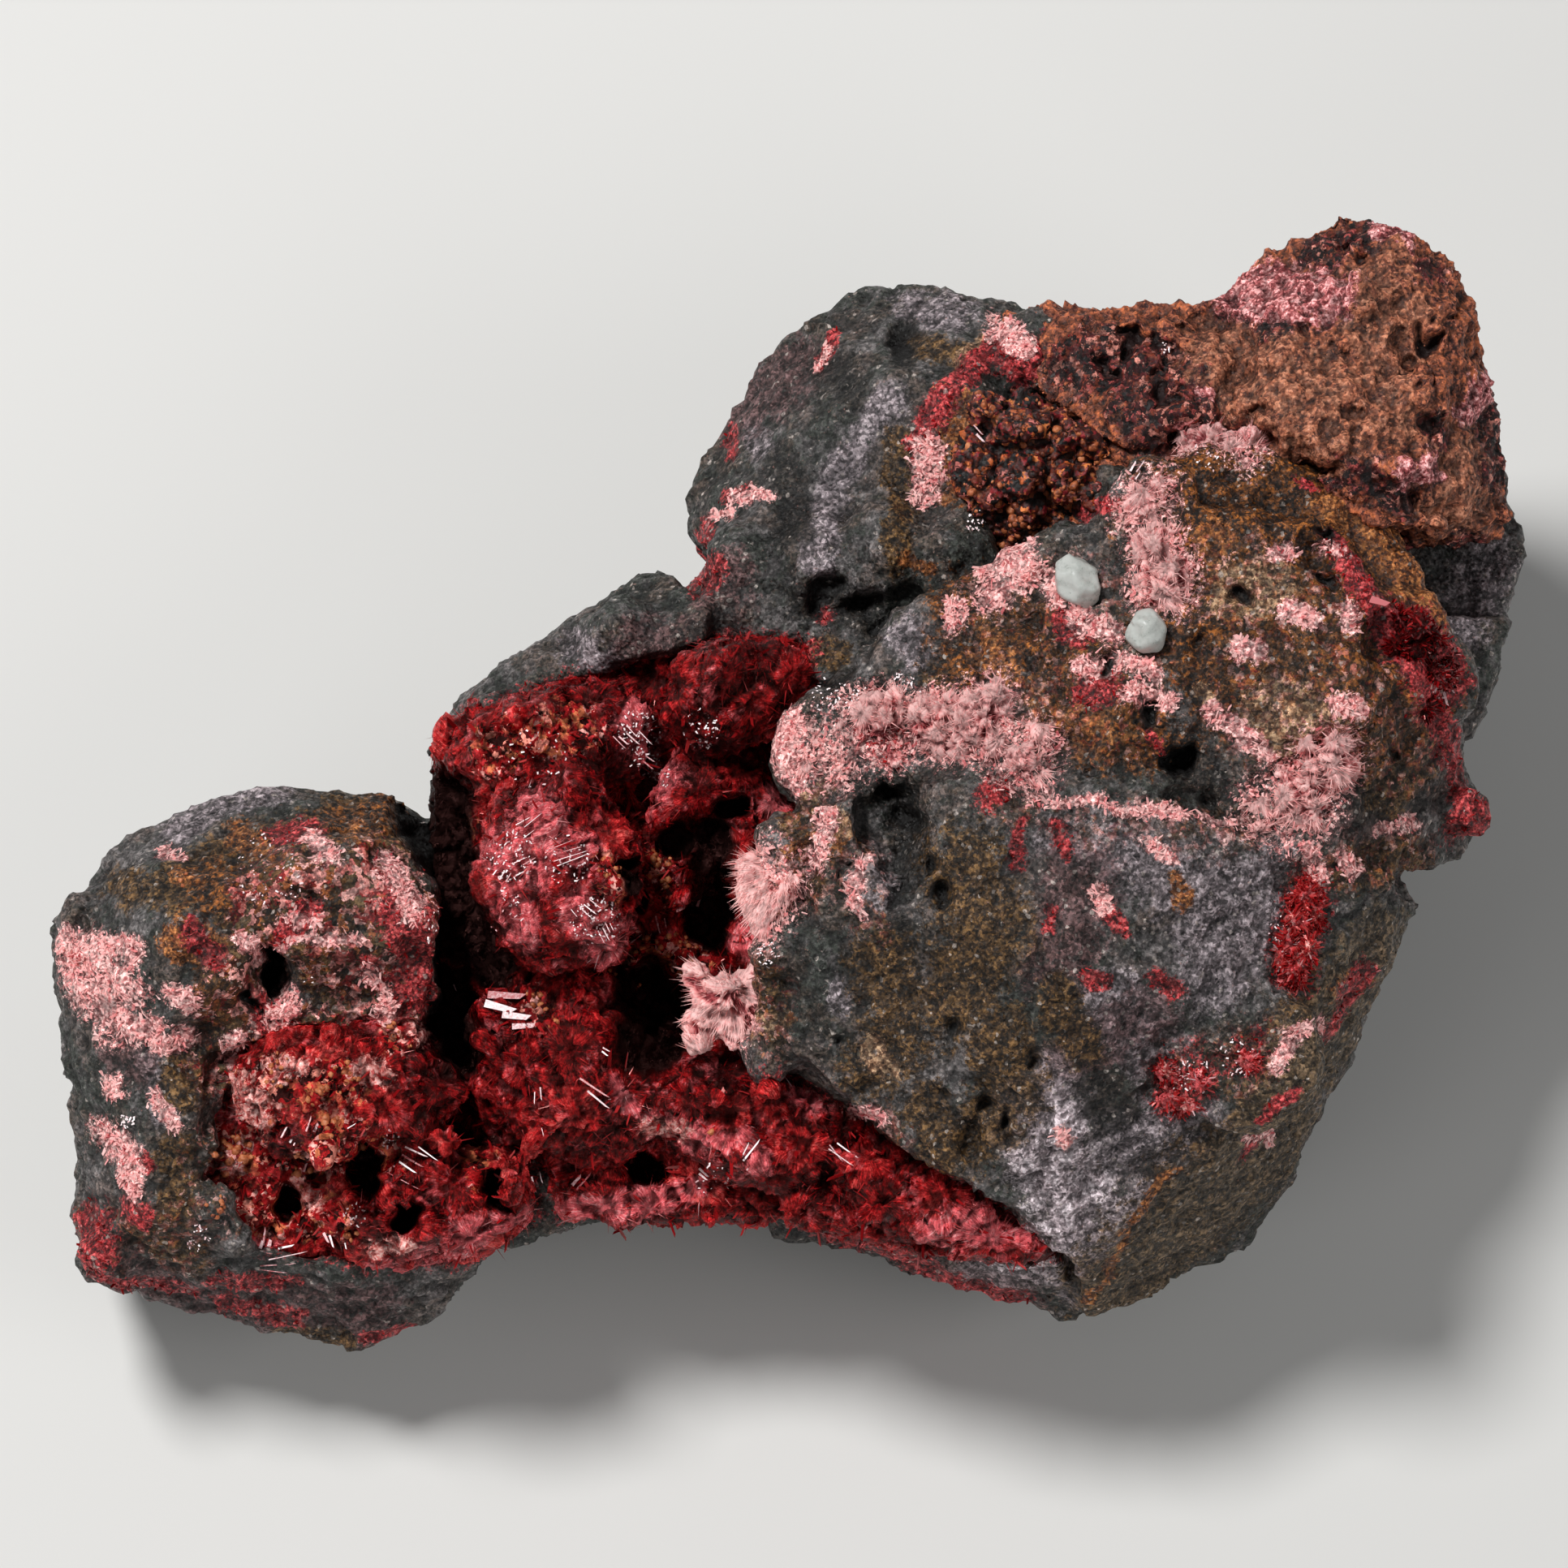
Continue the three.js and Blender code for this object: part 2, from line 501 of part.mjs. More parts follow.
// A druse on the rock: a low bed with short crystals, and the well that it fills
function makeDruse([[across, up], [wide, tall], crystals, longest], random, lowest) {
  const { out, normal } = findSurface(across, up);
  const bed = lump([across, up, (out + lowest) / 2 - 0.3], [wide, tall, (out - lowest) / 2 + 1.1], 0, 0, 0.3);
  const find = surfaceFinder(bed);
  const prisms = [];
  while (prisms.length < crystals) {
    const root = find(across + wide * (2 * random() - 1), up + tall * (2 * random() - 1));
    if (!root) continue;
    const lean = new THREE.Vector3(random() - 0.5, random() - 0.5, random() - 0.5).multiplyScalar(1.5);
    const along = normal.clone().add(EYE).add(lean);
    const face = new THREE.Vector3(random() - 0.5, random() - 0.5, random() - 0.5);
    const length = longest * (0.6 + 0.4 * random());
    prisms.push(blade(root.point, along, face, length, 0.6 + 0.4 * random(), 0.5 + 0.2 * random()));
  }
  const seats = [[oval([across, up], [wide + 0.7, tall + 0.7], 8), lowest - 1.6 - GAP]];
  return { solid: join([bed, ...prisms]), seats };
}

function makeQuartz([[across, up], size, turn]) {
  const { out } = findSurface(across, up);
  const geometry = new THREE.DodecahedronGeometry(1);
  geometry.scale(...size);
  geometry.rotateZ(THREE.MathUtils.degToRad(turn));
  geometry.applyMatrix4(SHOW_BASIS);
  const centre = place([across, up, out + 0.2]);
  const solid = solidOf(geometry.translate(centre.x, centre.y, centre.z));
  const outline = oval([across, up], [size[1] + 0.5, size[1] + 0.5], 6);
  return { solid, seats: [[outline, out + 0.2 - size[2] - GAP]] };
}

// A growth made of several fans or druses: one solid, kept clear of the walls of its own seat
function makeGrowth(list, make, seed) {
  const random = stream(seed);
  const lowest = Math.min(...list.map(([[across, up]]) => findSurface(across, up).out));
  const made = list.map((item) => make(item, random, lowest));
  const seats = made.flatMap((piece) => piece.seats);
  const room = join(seats.map(([outline, floor]) => well(outline, floor, GAP)));
  const solid = join(made.map((piece) => piece.solid)).intersect(room);
  return { solid: largestOf(solid), seat: join(seats.map(([outline, floor]) => well(outline, floor))) };
}

const growths = new Map();
Object.entries(PINK_SPRAYS).forEach(([name, list], i) => {
  growths.set(name, makeGrowth(list, makeFan, 11 + i));
});
Object.entries(RED_DRUSES).forEach(([name, list], i) => {
  growths.set(name, makeGrowth(list, makeDruse, 31 + i));
});
Object.entries(QUARTZ_GRAINS).forEach(([name, item]) => {
  growths.set(name, makeGrowth([item], makeQuartz, 1));
});
const growthSeats = join([...growths.values()].map(({ seat }) => seat));

const vugRooms = VUG_ROOMS.map(([outline, floor]) => well(outline, floor));
const oreSeats = ORE_SEATS.map(([outline, floor]) => well(outline, floor));
const pocketRoom = lump(POCKET.middle, POCKET.size);
const pocketInside = lump(POCKET.middle, POCKET.size.map((half) => half - 1.5 * GAP));

// Blades that stand on a bed and lean at random about the way that its surface faces
function standOfBlades(find, random) {
  const blades = [];
  for (const [[across, up], [wide, tall], count, longest, widest] of CRIMSON_STANDS) {
    for (let i = 0; i < count; i++) {
      const turn = 2 * Math.PI * random();
      const reach = Math.sqrt(random());
      const spot = find(across + wide * reach * Math.cos(turn), up + tall * reach * Math.sin(turn));
      if (!spot) continue;
      const lean = new THREE.Vector3(random() - 0.5, random() - 0.5, random() - 0.5).multiplyScalar(1.7);
      const along = spot.normal.clone().multiplyScalar(0.8).addScaledVector(EYE, 0.3).add(lean);
      const face = new THREE.Vector3(random() - 0.5, random() - 0.5, random() - 0.5);
      const length = longest * (0.55 + 0.45 * random());
      const width = widest * (0.6 + 0.4 * random());
      blades.push(blade(spot.point, along, face, length, width, 0.3 + 0.3 * width));
    }
  }
  return blades;
}

function makeCrimsonCrust() {
  const underside = -12;
  const floors = join(
    VUG_ROOMS.map(([outline], i) =>
      block(outline.flatMap((spot) => [[...spot, CRIMSON_FLOORS[i]], [...spot, underside]])),
    ),
  );
  const bed = roughened(floors.add(lumpsOf(CRIMSON_BEDS, 0)), CRUST_FACET, CRUST_RELIEF)
    .subtract(lumpsOf(CRIMSON_GAPS, 0));
  const blades = standOfBlades(surfaceFinder(bed), stream(7));
  const room = join(VUG_ROOMS.map(([outline, floor]) => well(outline, floor, GAP)));
  return largestOf(join([bed, ...blades]).intersect(room).subtract(growthSeats));
}

function makePocketCrust() {
  const random = stream(5);
  const [across, up, out] = POCKET.middle;
  const dish = lump([across, up, out - 3.6], [4.4, 4.7, 1.6]);
  const find = surfaceFinder(dish);
  const grains = [];
  while (grains.length < POCKET_GRAINS) {
    const spot = [across + 4.2 * (2 * random() - 1), up + 4.4 * (2 * random() - 1)];
    const floor = find(...spot);
    if (!floor) continue;
    const size = 0.8 + 0.6 * random();
    grains.push(lump([...spot, floor.out + 0.2], [size, size, size], 90 * random(), 0, 0.3));
  }
  const others = join([growthSeats, ...oreSeats]);
  return largestOf(join([dish, ...grains]).intersect(pocketInside).subtract(others));
}

// The finished object
const part = new THREE.Group();

function addPiece(name, solid, color, roughness, metalness = 0) {
  const material = new THREE.MeshStandardMaterial({ color, roughness, metalness });
  const mesh = new THREE.Mesh(geometryOf(solid), material);
  mesh.name = name;
  part.add(mesh);
}

const host = largestOf(rock.subtract(join([growthSeats, pocketRoom, ...vugRooms, ...oreSeats])));
const oreRoom = join(ORE_SEATS.map(([outline, floor]) => well(outline, floor, GAP)));
const ore = largestOf(oreBody.intersect(oreRoom).subtract(join([growthSeats, pocketRoom])));
addPiece('host_rock', host, 0x5a5a58, 0.85);
addPiece('brown_ore_mass', ore, 0x8a4f38, 0.8);
addPiece('crimson_crystal_crust', makeCrimsonCrust(), 0x8c1b2c, 0.3);
addPiece('rust_pocket_crust', makePocketCrust(), 0x9a4a24, 0.6);
for (const [name, { solid }] of growths) {
  if (name.startsWith('pink')) addPiece(name, solid, 0xd98a94, 0.5);
  else if (name.startsWith('quartz')) addPiece(name, solid, 0xb4bdb0, 0.2);
  else addPiece(name, solid, 0x8a1f30, 0.35);
}

const whole = new THREE.Box3().setFromObject(part);
const middle = whole.getCenter(new THREE.Vector3());
part.position.set(-middle.x, -middle.y, -whole.min.z);

export default part;
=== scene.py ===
"""Dresses the erythrite specimen: host rock, brown ore, crimson crystals, pink sprays and quartz grains."""

import math

import bmesh
import bpy
import numpy as np
from bpy.props import FloatProperty, FloatVectorProperty, IntProperty, PointerProperty
from bpy.types import Operator, Panel, PropertyGroup
from mathutils import Matrix, Vector, noise
from mathutils.bvhtree import BVHTree
from mathutils.kdtree import KDTree


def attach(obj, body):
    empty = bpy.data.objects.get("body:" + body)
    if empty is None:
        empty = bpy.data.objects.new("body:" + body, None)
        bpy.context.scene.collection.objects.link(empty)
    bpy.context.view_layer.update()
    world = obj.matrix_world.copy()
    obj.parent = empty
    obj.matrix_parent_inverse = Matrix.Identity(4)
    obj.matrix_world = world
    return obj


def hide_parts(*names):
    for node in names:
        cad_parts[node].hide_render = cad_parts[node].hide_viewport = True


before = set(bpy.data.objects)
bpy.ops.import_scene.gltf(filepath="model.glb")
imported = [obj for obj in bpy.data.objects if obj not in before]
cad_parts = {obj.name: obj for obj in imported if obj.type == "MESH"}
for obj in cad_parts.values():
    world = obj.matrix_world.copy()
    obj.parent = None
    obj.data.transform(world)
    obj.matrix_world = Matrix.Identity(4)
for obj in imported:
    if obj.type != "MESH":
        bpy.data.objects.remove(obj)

bl_info = {
    "name": "Erythrite Specimen",
    "version": (1, 0, 0),
    "blender": (4, 5, 0),
    "location": "3D View > Sidebar > Specimen",
    "description": "Dresses a lump of rock with its crimson and pink crystals",
    "category": "Mesh",
}

MM = 0.001

# The show side, as in the solids: places on it are (across, up) in millimetres at the depth of its rim.
SHOW_AZIMUTH = math.radians(-27)
SHOW_ELEVATION = math.radians(70)
SHOW_MIDDLE = Vector((-1.5532, 0.0277, 26.5)) * MM
VIEW_DISTANCE = 400
RIM_DEPTH = -11
FIELD_WIDTH = 69
SENSOR_WIDTH = 36
EYE = Vector((
    math.sin(SHOW_AZIMUTH) * math.cos(SHOW_ELEVATION),
    -math.cos(SHOW_AZIMUTH) * math.cos(SHOW_ELEVATION),
    math.sin(SHOW_ELEVATION),
))
ACROSS = Vector((math.cos(SHOW_AZIMUTH), math.sin(SHOW_AZIMUTH), 0))
UP = EYE.cross(ACROSS)
VIEWPOINT = SHOW_MIDDLE + EYE * VIEW_DISTANCE * MM
KEY_LIGHT = SHOW_MIDDLE + (ACROSS * -170 + UP * 260 + EYE * 330) * MM
FILL_LIGHT = SHOW_MIDDLE + (ACROSS * 380 + UP * -60 + EYE * 260) * MM
RIM_LIGHT = SHOW_MIDDLE + (ACROSS * -330 + UP * -260 + EYE * 200) * MM

DOUBLES = 1e-6
FLOOR_SIZE = 6.0
# How much the edges of the marks wander: sizes and throws in millimetres.
WANDER = ((1.7, 0.42), (0.6, 0.22))
MARK_DEPTH = 0.45
# Fine streaks along a ray's turn, and the way of the streaks on the boss.
RAYS = 6
BOSS_TURN = math.radians(19)
# The depths of dips, raised parts and slots in millimetres, how much deeper the rock lies below a slot, how
# much depth counts on a slot's walls, and how dark the painted shade on the rock is there, as a share of a
# pit's.
DIP = 1.3
RAISE = 0.85
SLOT_DEPTH = 2.2
SLOT_ROOM = 1
SLOT_WALLS = 0.2
SLOT_SHADE = 1.5
# Narrow gaps are closed: the widest one, the widest that is closed in full, how far a point is drawn at
# most in millimetres, and the largest share of its way.
SEAM_WIDEST = 0.75
SEAM_FULL = 0.45
SEAM_DRAW = 0.3
SEAM_SHARE = 0.85
# The seats' fills follow points of the rock on a ring: how many, how far out in radii, how far one may lie
# below the others in millimetres, and how few give a level fill.
RING_POINTS = 20
RING_REACH = 1.12
RING_DROP = 1.3
RING_FEWEST = 8
# How far the glints and the laths stand out of the surface at their roots, in millimetres.
GLINT_LIFT = 0.06
LATH_LIFT = 0.15
# The meshes of the small crusts and of the quartz, and the crystals of each small druse.
FINE_MESH = 0.12 * MM
QUARTZ_MESH = 0.1 * MM
DRUSE_ROSETTES = 60
DRUSE_BLADES = 1100

# Marks on the show side, each a radius in millimetres and then a path, across and up by turns.
OLIVE = (
    (1.2, -26, -3.8, -23, -2.6, -20, -1.9, -17.4, -1.1), (0.9, -24.6, -8.4, -24.8, -11.2),
    (2.2, 24.8, -9.6, 23, -13, 20.5, -17, 16.5, -20.5), (1, -19.6, -0.8, -17.4, -0.9, -16.8, -2),
    (1.5, -25.6, -4.4, -22.6, -3.9, -19.2, -4.2, -17.6, -2.4), (0.9, -29.2, -4.4, -26.6, -5),
    (0.7, -25.1, -8.2, -25.1, -12.8), (0.9, -24.3, -5.8, -22, -5.6, -19.2, -5.6),
    (0.9, -20.8, -7.4, -20.4, -9), (0.9, -19.4, -9.6, -19.4, -12), (0.8, -26.8, -16, -26.6, -19),
    (1, -26, -12, -26.6, -13.4), (0.8, -28.4, -19.4, -26, -20.8), (0.5, -23.6, -24, -19.4, -24.4),
    (0.9, 0.8, -1.6, 1, -4.6), (0.8, -1, -8.4, -0.6, -10.8), (1.5, 4.4, -7.6, 5, -11, 4, -12.4),
    (1.9, 8, -3.6, 9, -6.4, 7.4, -9.6), (1.6, 9.4, -11.2, 10.2, -13.4, 8.6, -15.4), (1, 6.4, -14, 7, -16.4),
    (1, 12, -9.4, 13, -11.4), (1, 7, 4.6, 6.8, 3.6), (1.3, 8.6, 7.8, 8.8, 5.8), (1.1, 12.4, 3.2, 14.2, 2.6),
    (0.8, 10.8, 6.4, 13, 5.6), (1.8, 18.6, 12.2, 21.4, 12.6, 23.8, 11.4),
    (1.5, 18.6, 9.6, 19, 7.2, 18.4, 5), (1.3, 21.4, 7, 24.4, 9.4, 25.2, 6.4),
    (1.7, 20.6, 4, 23.4, 3.2, 26.4, 5.4), (1.3, 26.4, 3.4, 28, 1.6, 26.6, 0), (1, 24.8, -3.6, 27.6, -3.2),
    (0.7, 5, 15, 5.2, 12, 5, 9.8), (0.7, 6.2, 19.2, 8.2, 18.8), (0.8, -6.8, 4, -4.8, 3.6),
    (0.6, 0.8, 6, 2.4, 5.6), (3, 17.8, -19, 19.6, -17.2, 15, -21.6), (1.6, 23, -10.6, 20.8, -15),
)
OCHRE = (
    (1.4, 24.6, 12.2, 26.6, 10.4, 28.4, 7.6), (0.8, 7.4, 16.8, 7.6, 15.2, 7.4, 13),
    (0.7, -24, -2.3, -22.8, -2.7), (0.5, -18.8, -1.6, -18.6, -2.4), (0.5, -26.3, -4.2, -26, -4.2),
    (0.9, -26.6, -6.8, -25.2, -7.4), (0.7, -24.6, -8.4, -24.4, -11.6), (0.4, -22.4, -6.3, -21.6, -6.3),
    (0.5, 10.6, 4.2, 11, 3.4), (0.8, 9, 6, 9.4, 5.2), (0.9, 12.4, 2.6, 13.6, 2.2),
    (0.5, 17.2, -4.5, 17.4, -5), (0.35, 28.9, 1.7, 29, 1.5), (0.6, 19, 11.2, 18.6, 10),
    (0.7, 0.4, -3, 2.4, -2.4), (0.5, 0.2, -4.6, -0.2, -5.4), (0.7, 24.6, -9, 25.4, -8.6),
    (0.4, 5.3, 9.8, 6.4, 9.6), (0.5, 21.8, 4.8, 22, 4.4),
    (0.25, 17.1, -17, 15.2, -19, 14.2, -21.6, 13.4, -22.8),
)
PALE_LILAC = (
    (1.5, 15, -15.8, 17.4, -15.2, 19.4, -15.2), (1.5, 14.4, -9.6, 16, -11.4),
    (1.9, 15.4, -3, 18.4, -4.6, 21.2, -4.6), (1.6, 19, -8.4, 18.6, -6.4, 21, -6.4), (1.1, 12, -2, 14, -2.4),
    (0.9, 3.8, -3.6, 4.2, -5), (0.5, 2.4, -8.8, 2.6, -9.6), (0.9, -9, 6, -7.6, 5),
    (0.6, -1.4, 15.4, -0.9, 14.8), (0.8, 2.8, 14.4, 1.8, 12, 1.4, 9.8), (0.8, 4.6, 16.8, 3.6, 15.4),
    (1.2, 30.8, 9.6, 29.8, 6.8), (0.8, -26.6, -2, -24.6, -0.9, -22.4, -0.3), (0.6, -28, -12, -27.2, -14.6),
    (0.9, 5.4, 6.6, 6.2, 5.6), (0.5, -0.6, -18.6, 1.6, -18.7), (0.9, 5.6, 20.8, 7.6, 20.6),
)
PINK_POWDER = (
    (0.8, -0.2, 3.6, 0.2, 1), (0.6, 0.2, 0.6, 0.6, -1), (0.7, 6.3, 14.6, 6.4, 12.8),
    (0.6, 9.4, 20, 10.4, 19.4), (0.6, 8.6, 9.6, 11, 10.8), (0.8, -31.4, -7.1, -31.4, -8.4, -30.2, -7.2),
    (1.2, -30.6, -9.2, -29.2, -9, -29.4, -10), (0.6, -29.4, -7, -28.8, -7.4),
    (0.6, -28.8, -10.6, -27.9, -11), (0.6, -26.9, -9.4, -26.2, -9.6), (0.45, -27.4, -11.4, -26.4, -11.2),
    (0.4, -29.6, -13, -29.3, -13.8), (0.4, -27.6, -13.8, -26.9, -15), (0.7, -29.9, -15.4, -29, -16.2),
    (0.5, -28.6, -17, -28.6, -17.8), (0.35, -27.3, -2.9, -26.6, -3.2), (0.5, -20.7, -2.4, -20.2, -3),
    (0.55, -17.4, -3.4, -16.9, -4.4, -16.4, -5.4), (0.22, -21.8, -6.1, -20.8, -6.2),
    (0.25, -21.6, -6.8, -20, -6.8), (0.25, -19.6, -6.7, -18.6, -6.8), (0.5, -23.7, -7, -23.2, -7.5),
    (0.3, -22.7, -7, -21.9, -7.1), (0.4, -22, -9.2, -22.2, -10.8, -21.9, -11.4),
    (0.25, -23.4, -11.5, -22.3, -11.9), (0.5, -24.2, -11.2, -24.4, -12), (0.35, -18.4, -8.4, -17.6, -9.6),
    (0.35, -18.2, -10.4, -17.4, -10), (0.5, 1.9, -1.4, 1.4, -3.4), (0.4, -1.6, -9, -1.4, -10.6),
    (0.8, 10.6, 9.4, 9.6, 9, 9.2, 8.4), (0.5, 11.7, 8.9, 12.2, 8.3), (0.45, 7.5, 7.8, 7.4, 7),
    (0.5, 13.2, 7.4, 14.4, 6.6), (0.45, 13, 5, 15.6, 5.3, 16.3, 4.7), (0.5, 15.4, 3.8, 16.8, 3.6),
    (0.5, 19, 3.2, 20.4, 1.9, 21.4, 1.2), (0.5, 20.1, 5.8, 20.8, 5.8), (0.5, 22.2, 7.6, 23.4, 7.1),
    (0.35, 24.8, 7.7, 24.9, 7.1), (0.3, 21.4, 10.2, 22.4, 10.2), (0.3, 23.5, 10.2, 24.1, 10.2),
    (0.4, 24.2, 3.6, 25.4, 3.4), (0.3, 11.4, -0.6, 14, -0.7), (0.25, 14.4, -1.1, 17, -1.4, 19.6, -2),
    (0.45, 16.1, -2.6, 16.9, -3.2), (0.35, 13.6, -4.6, 14, -5.6), (0.4, 26.4, -2.1, 27.7, -1.8),
    (0.4, 24.6, -3, 25.2, -3.8), (0.5, 23.1, -3, 23.4, -4.2), (0.5, 2, -14, 4.2, -14.8),
    (0.3, 6.4, -20.2, 8.6, -20.8), (0.35, -2, 12.6, -0.8, 12.6), (0.3, -3.2, 11.6, -2.2, 11.8),
    (0.22, 1.7, 19.4, 1.3, 18.4), (0.3, 20.4, -15.4, 21.4, -15.6), (0.4, 21.6, -12.6, 23.4, -10.4),
    (0.35, 3.4, -3.4, 3.2, -5.6), (0.3, 12, -15.4, 12.4, -15.8),
)
RED_STAIN = (
    (1, -17.1, -5.6, -16, -7.4, -16.4, -9.4), (0.5, -18.4, -8.2, -17.7, -9.4),
    (0.5, -22.2, -6.6, -20.8, -5.6), (0.8, 24.4, 10.4, 25.8, 8.4, 27.4, 6, 28.4, 3.6),
    (0.7, 28.6, 3, 29.4, 1, 30, -1), (0.5, 25.6, -8.4, 24, -11), (0.35, 22.4, -13.6, 20.4, -16),
    (0.6, 5.9, 14.8, 6.6, 16.4, 8, 18, 9.6, 19.2), (0.8, 10.4, 18.2, 12.2, 19.6),
    (0.5, 12.8, 11.6, 14.4, 12.4), (0.75, -3.6, 10.9, -3.5, 10.2), (0.85, -4.2, 9.2, -3.4, 9.2),
    (0.3, 2, 19.9, 1.4, 18.7), (0.4, -2.6, 15.4, -2.4, 14.4), (0.4, -2.4, 12.6, -1.8, 12.8),
    (0.9, -30.4, -19.2, -30.3, -20.8), (0.5, -29, -18.7, -28, -19), (0.35, -30, -21.8, -26, -22.4),
    (0.5, -24.6, -22.8, -21.6, -23.4), (0.35, -18.6, -24, -16.2, -24.2), (0.4, -25, -21.8, -21.6, -22),
    (0.7, 1.6, -19.6, 4.4, -20.4, 7.4, -21.8), (0.6, 9.4, -0.3, 9, -0.6), (0.4, 11.8, -1.8, 12.4, -2.8),
    (0.3, 11.7, -5.6, 11.8, -6.4), (0.3, 10.4, -1.8, 10.4, -3.6), (0.35, 13.4, -8.4, 13.9, -8.5),
    (0.5, 16.4, -8.6, 17.2, -9.2), (0.4, 14.2, -5.8, 14.6, -6.2), (0.9, 29.8, -2, 30.7, -1.4),
    (0.35, 22.9, 13.3, 23.3, 13.2), (0.7, -1.6, 5.2, 0.2, 5.4), (0.35, 1.7, 7.5, 1.8, 7.4),
    (0.8, 13.4, 4, 14.2, 4.2), (0.6, 12.4, 7.2, 13, 6.6), (0.8, -21.8, -2.1, -21, -2),
    (0.5, -26, -6.4, -25.2, -7.6), (0.5, -22.9, -9.8, -22.6, -11), (0.5, 24.6, -9.2, 25.7, -8),
    (0.8, 29.2, 5.4, 29.4, 4.6), (0.3, 16, 2, 16.4, 1.6), (0.3, -28, -16.4, -27.9, -17),
    (0.5, 8.4, -22.2, 10.4, -22.6), (0.8, 4, 2.2, 4.8, 1.8),
)
TAN = (
    (0.6, -4.2, 4.2, -3, 4.4), (0.4, -3.6, 4.9, -2.8, 4.6), (0.5, 2.2, -1.2, 2.6, -2),
    (0.5, -1.4, -10.8, -0.6, -10.6), (0.5, 3.6, -11.6, 4.6, -12.4), (0.4, 1.2, -0.6, 1.8, -0.2),
    (0.6, 0.6, -15.2, 3, -15.2), (0.5, 7.8, 18.4, 9, 19.4), (0.35, 18.2, 4.2, 18.8, 3.6),
    (1.6, 21.6, 3, 23.4, 2.2), (1.2, 20, 8.6, 21.4, 8.8),
)
# Dark stains, and painted shadow in crevices and at the foot of steps in the rock.
DARK_STAIN_AND_SHADOW = (
    (0.9, 5.4, -1.4, 6, -3.8), (0.7, 3.4, -0.4, 5, 0), (0.9, 0.8, 8.2, 3, 7.6, 4, 6.6),
    (0.6, 5.2, 20, 5.4, 18.8), (1, 0, 14, 0.4, 11.2), (1, 3, 17.4, 1.8, 18.4), (0.8, -2.6, 7.2, -4, 6.4),
    (1.1, 16.2, 2.4, 18.4, 0.6), (0.8, 19, -0.6, 19.8, -1), (1.2, 20, 12.8, 23.4, 13),
    (0.8, 23.8, 9.4, 24.2, 10.8), (1, -20.6, -8.4, -20.4, -11), (0.9, 13.6, -13.4, 14.2, -14.4),
    (1.4, 25.6, -0.6, 27.6, 0), (0.9, 10.6, 7, 11.4, 7.4), (0.8, 2.4, 4.2, 4, 3.9), (1.6, 0, -20, 4, -21),
    (1.2, 5, -6.4, 3.6, -8.4), (0.7, 17.3, 1.1, 17.2, 0.9), (1, 22.4, -4.8, 22.4, -4.4),
)
PLUM = (
    (1.4, 0, -20.6, 5, -21.2, 10, -22.6), (1.4, -30, -21.4, -25, -23, -18, -23.4),
    (0.9, -29.2, -11.4, -28.4, -12.4), (1.2, -6, 6.2, -3, 6.4, -2.4, 9), (1.6, 13, -4, 12, -8),
    (1.6, 23, -11, 25.6, -9.4), (1.4, 24, -0.4, 27.4, -3.2), (1.2, 16, -10, 12.6, -12),
    (1.4, -27.4, -19.6, -26.6, -20.6), (1.6, -2, 16.6, 0.4, 18),
)
UMBER = (
    (2.6, 18, 13.6, 22, 13.4, 25, 11.6, 27.6, 8.4), (3.4, 18.6, 11.4, 22.2, 11, 24.8, 8.6),
    (3.2, 18.8, 8, 20, 5, 23.6, 5, 26.4, 4), (2.1, 8.4, 7.6, 9, 5.4), (2, 12.6, 3.2, 15.2, 2.6),
    (1.6, 10.8, 6.6, 13, 5.4), (1.3, -19.4, -1.6, -17.2, -1.2), (1.5, -25, -4.4, -20, -4.6),
    (0.9, -25.4, -7.4, -24.6, -11.6),
)
FLANK = (
    (2.4, 25.6, -8.4, 24, -11.6, 21.8, -15.4, 19.6, -18, 15.6, -21.8), (1.6, 26.4, -7, 25, -8.6),
)
CHALK = (
    (1.6, 10.4, -14.6, 12, -17.4, 13, -20), (0.9, 8.4, -21.6, 11.6, -21.6, 12.8, -22.4),
    (0.8, 13, -21.6, 14.2, -19.4, 15.8, -18), (1.3, 11.8, -13, 12.4, -16, 13.6, -18.6),
    (1.1, 10.6, -20.6, 12.6, -20.8),
)
# Areas where the stains are broken up into small flakes of all the rock's colours.
CONFETTI = (
    (1.6, -24.6, -11.8, -20.6, -11.2, -16, -9.8), (1.8, -22.4, -4.8, -18.6, -5.2),
    (1.8, -18, -3.8, -16.4, -6.4), (1.5, -24.2, -8.4, -24.4, -12.4), (1.9, -19, -8, -17, -10.6),
    (1.3, -23, -6.4, -23, -7.4),
)
MIXED = (
    (1, -25.6, -15, -25.4, -19.4), (1.4, -28.6, -19.4, -26.4, -20.4), (1, -30.6, -19.4, -30.2, -21),
    (1.8, 9, 7.6, 12.6, 8.6), (1.6, 12.6, 5, 15.6, 5), (1.2, 14.6, 7.6, 16.6, 9),
    (2.2, 20, 9, 22.6, 7, 24.6, 8), (1.8, 20.4, 5.4, 24, 4.4), (1.6, 20.4, 2.6, 22.6, 1.2),
    (1.6, 25.6, 4, 27.2, 1), (1.4, 11, 3.4, 15, 2.4), (1.2, 1.6, -1.6, 1, -4.6),
    (1.2, 3.4, -3.6, 3.6, -5.6), (1, -0.8, -8, -0.6, -11.4), (1.2, 1.6, -14.2, 4.4, -15.2),
    (1.2, 25, -3.4, 27.6, -3), (1.4, 17.6, -12.4, 20.8, -12), (0.9, 22.8, -4.4, 22.4, -8),
    (1, 10, -1, 20, -2.2),
)
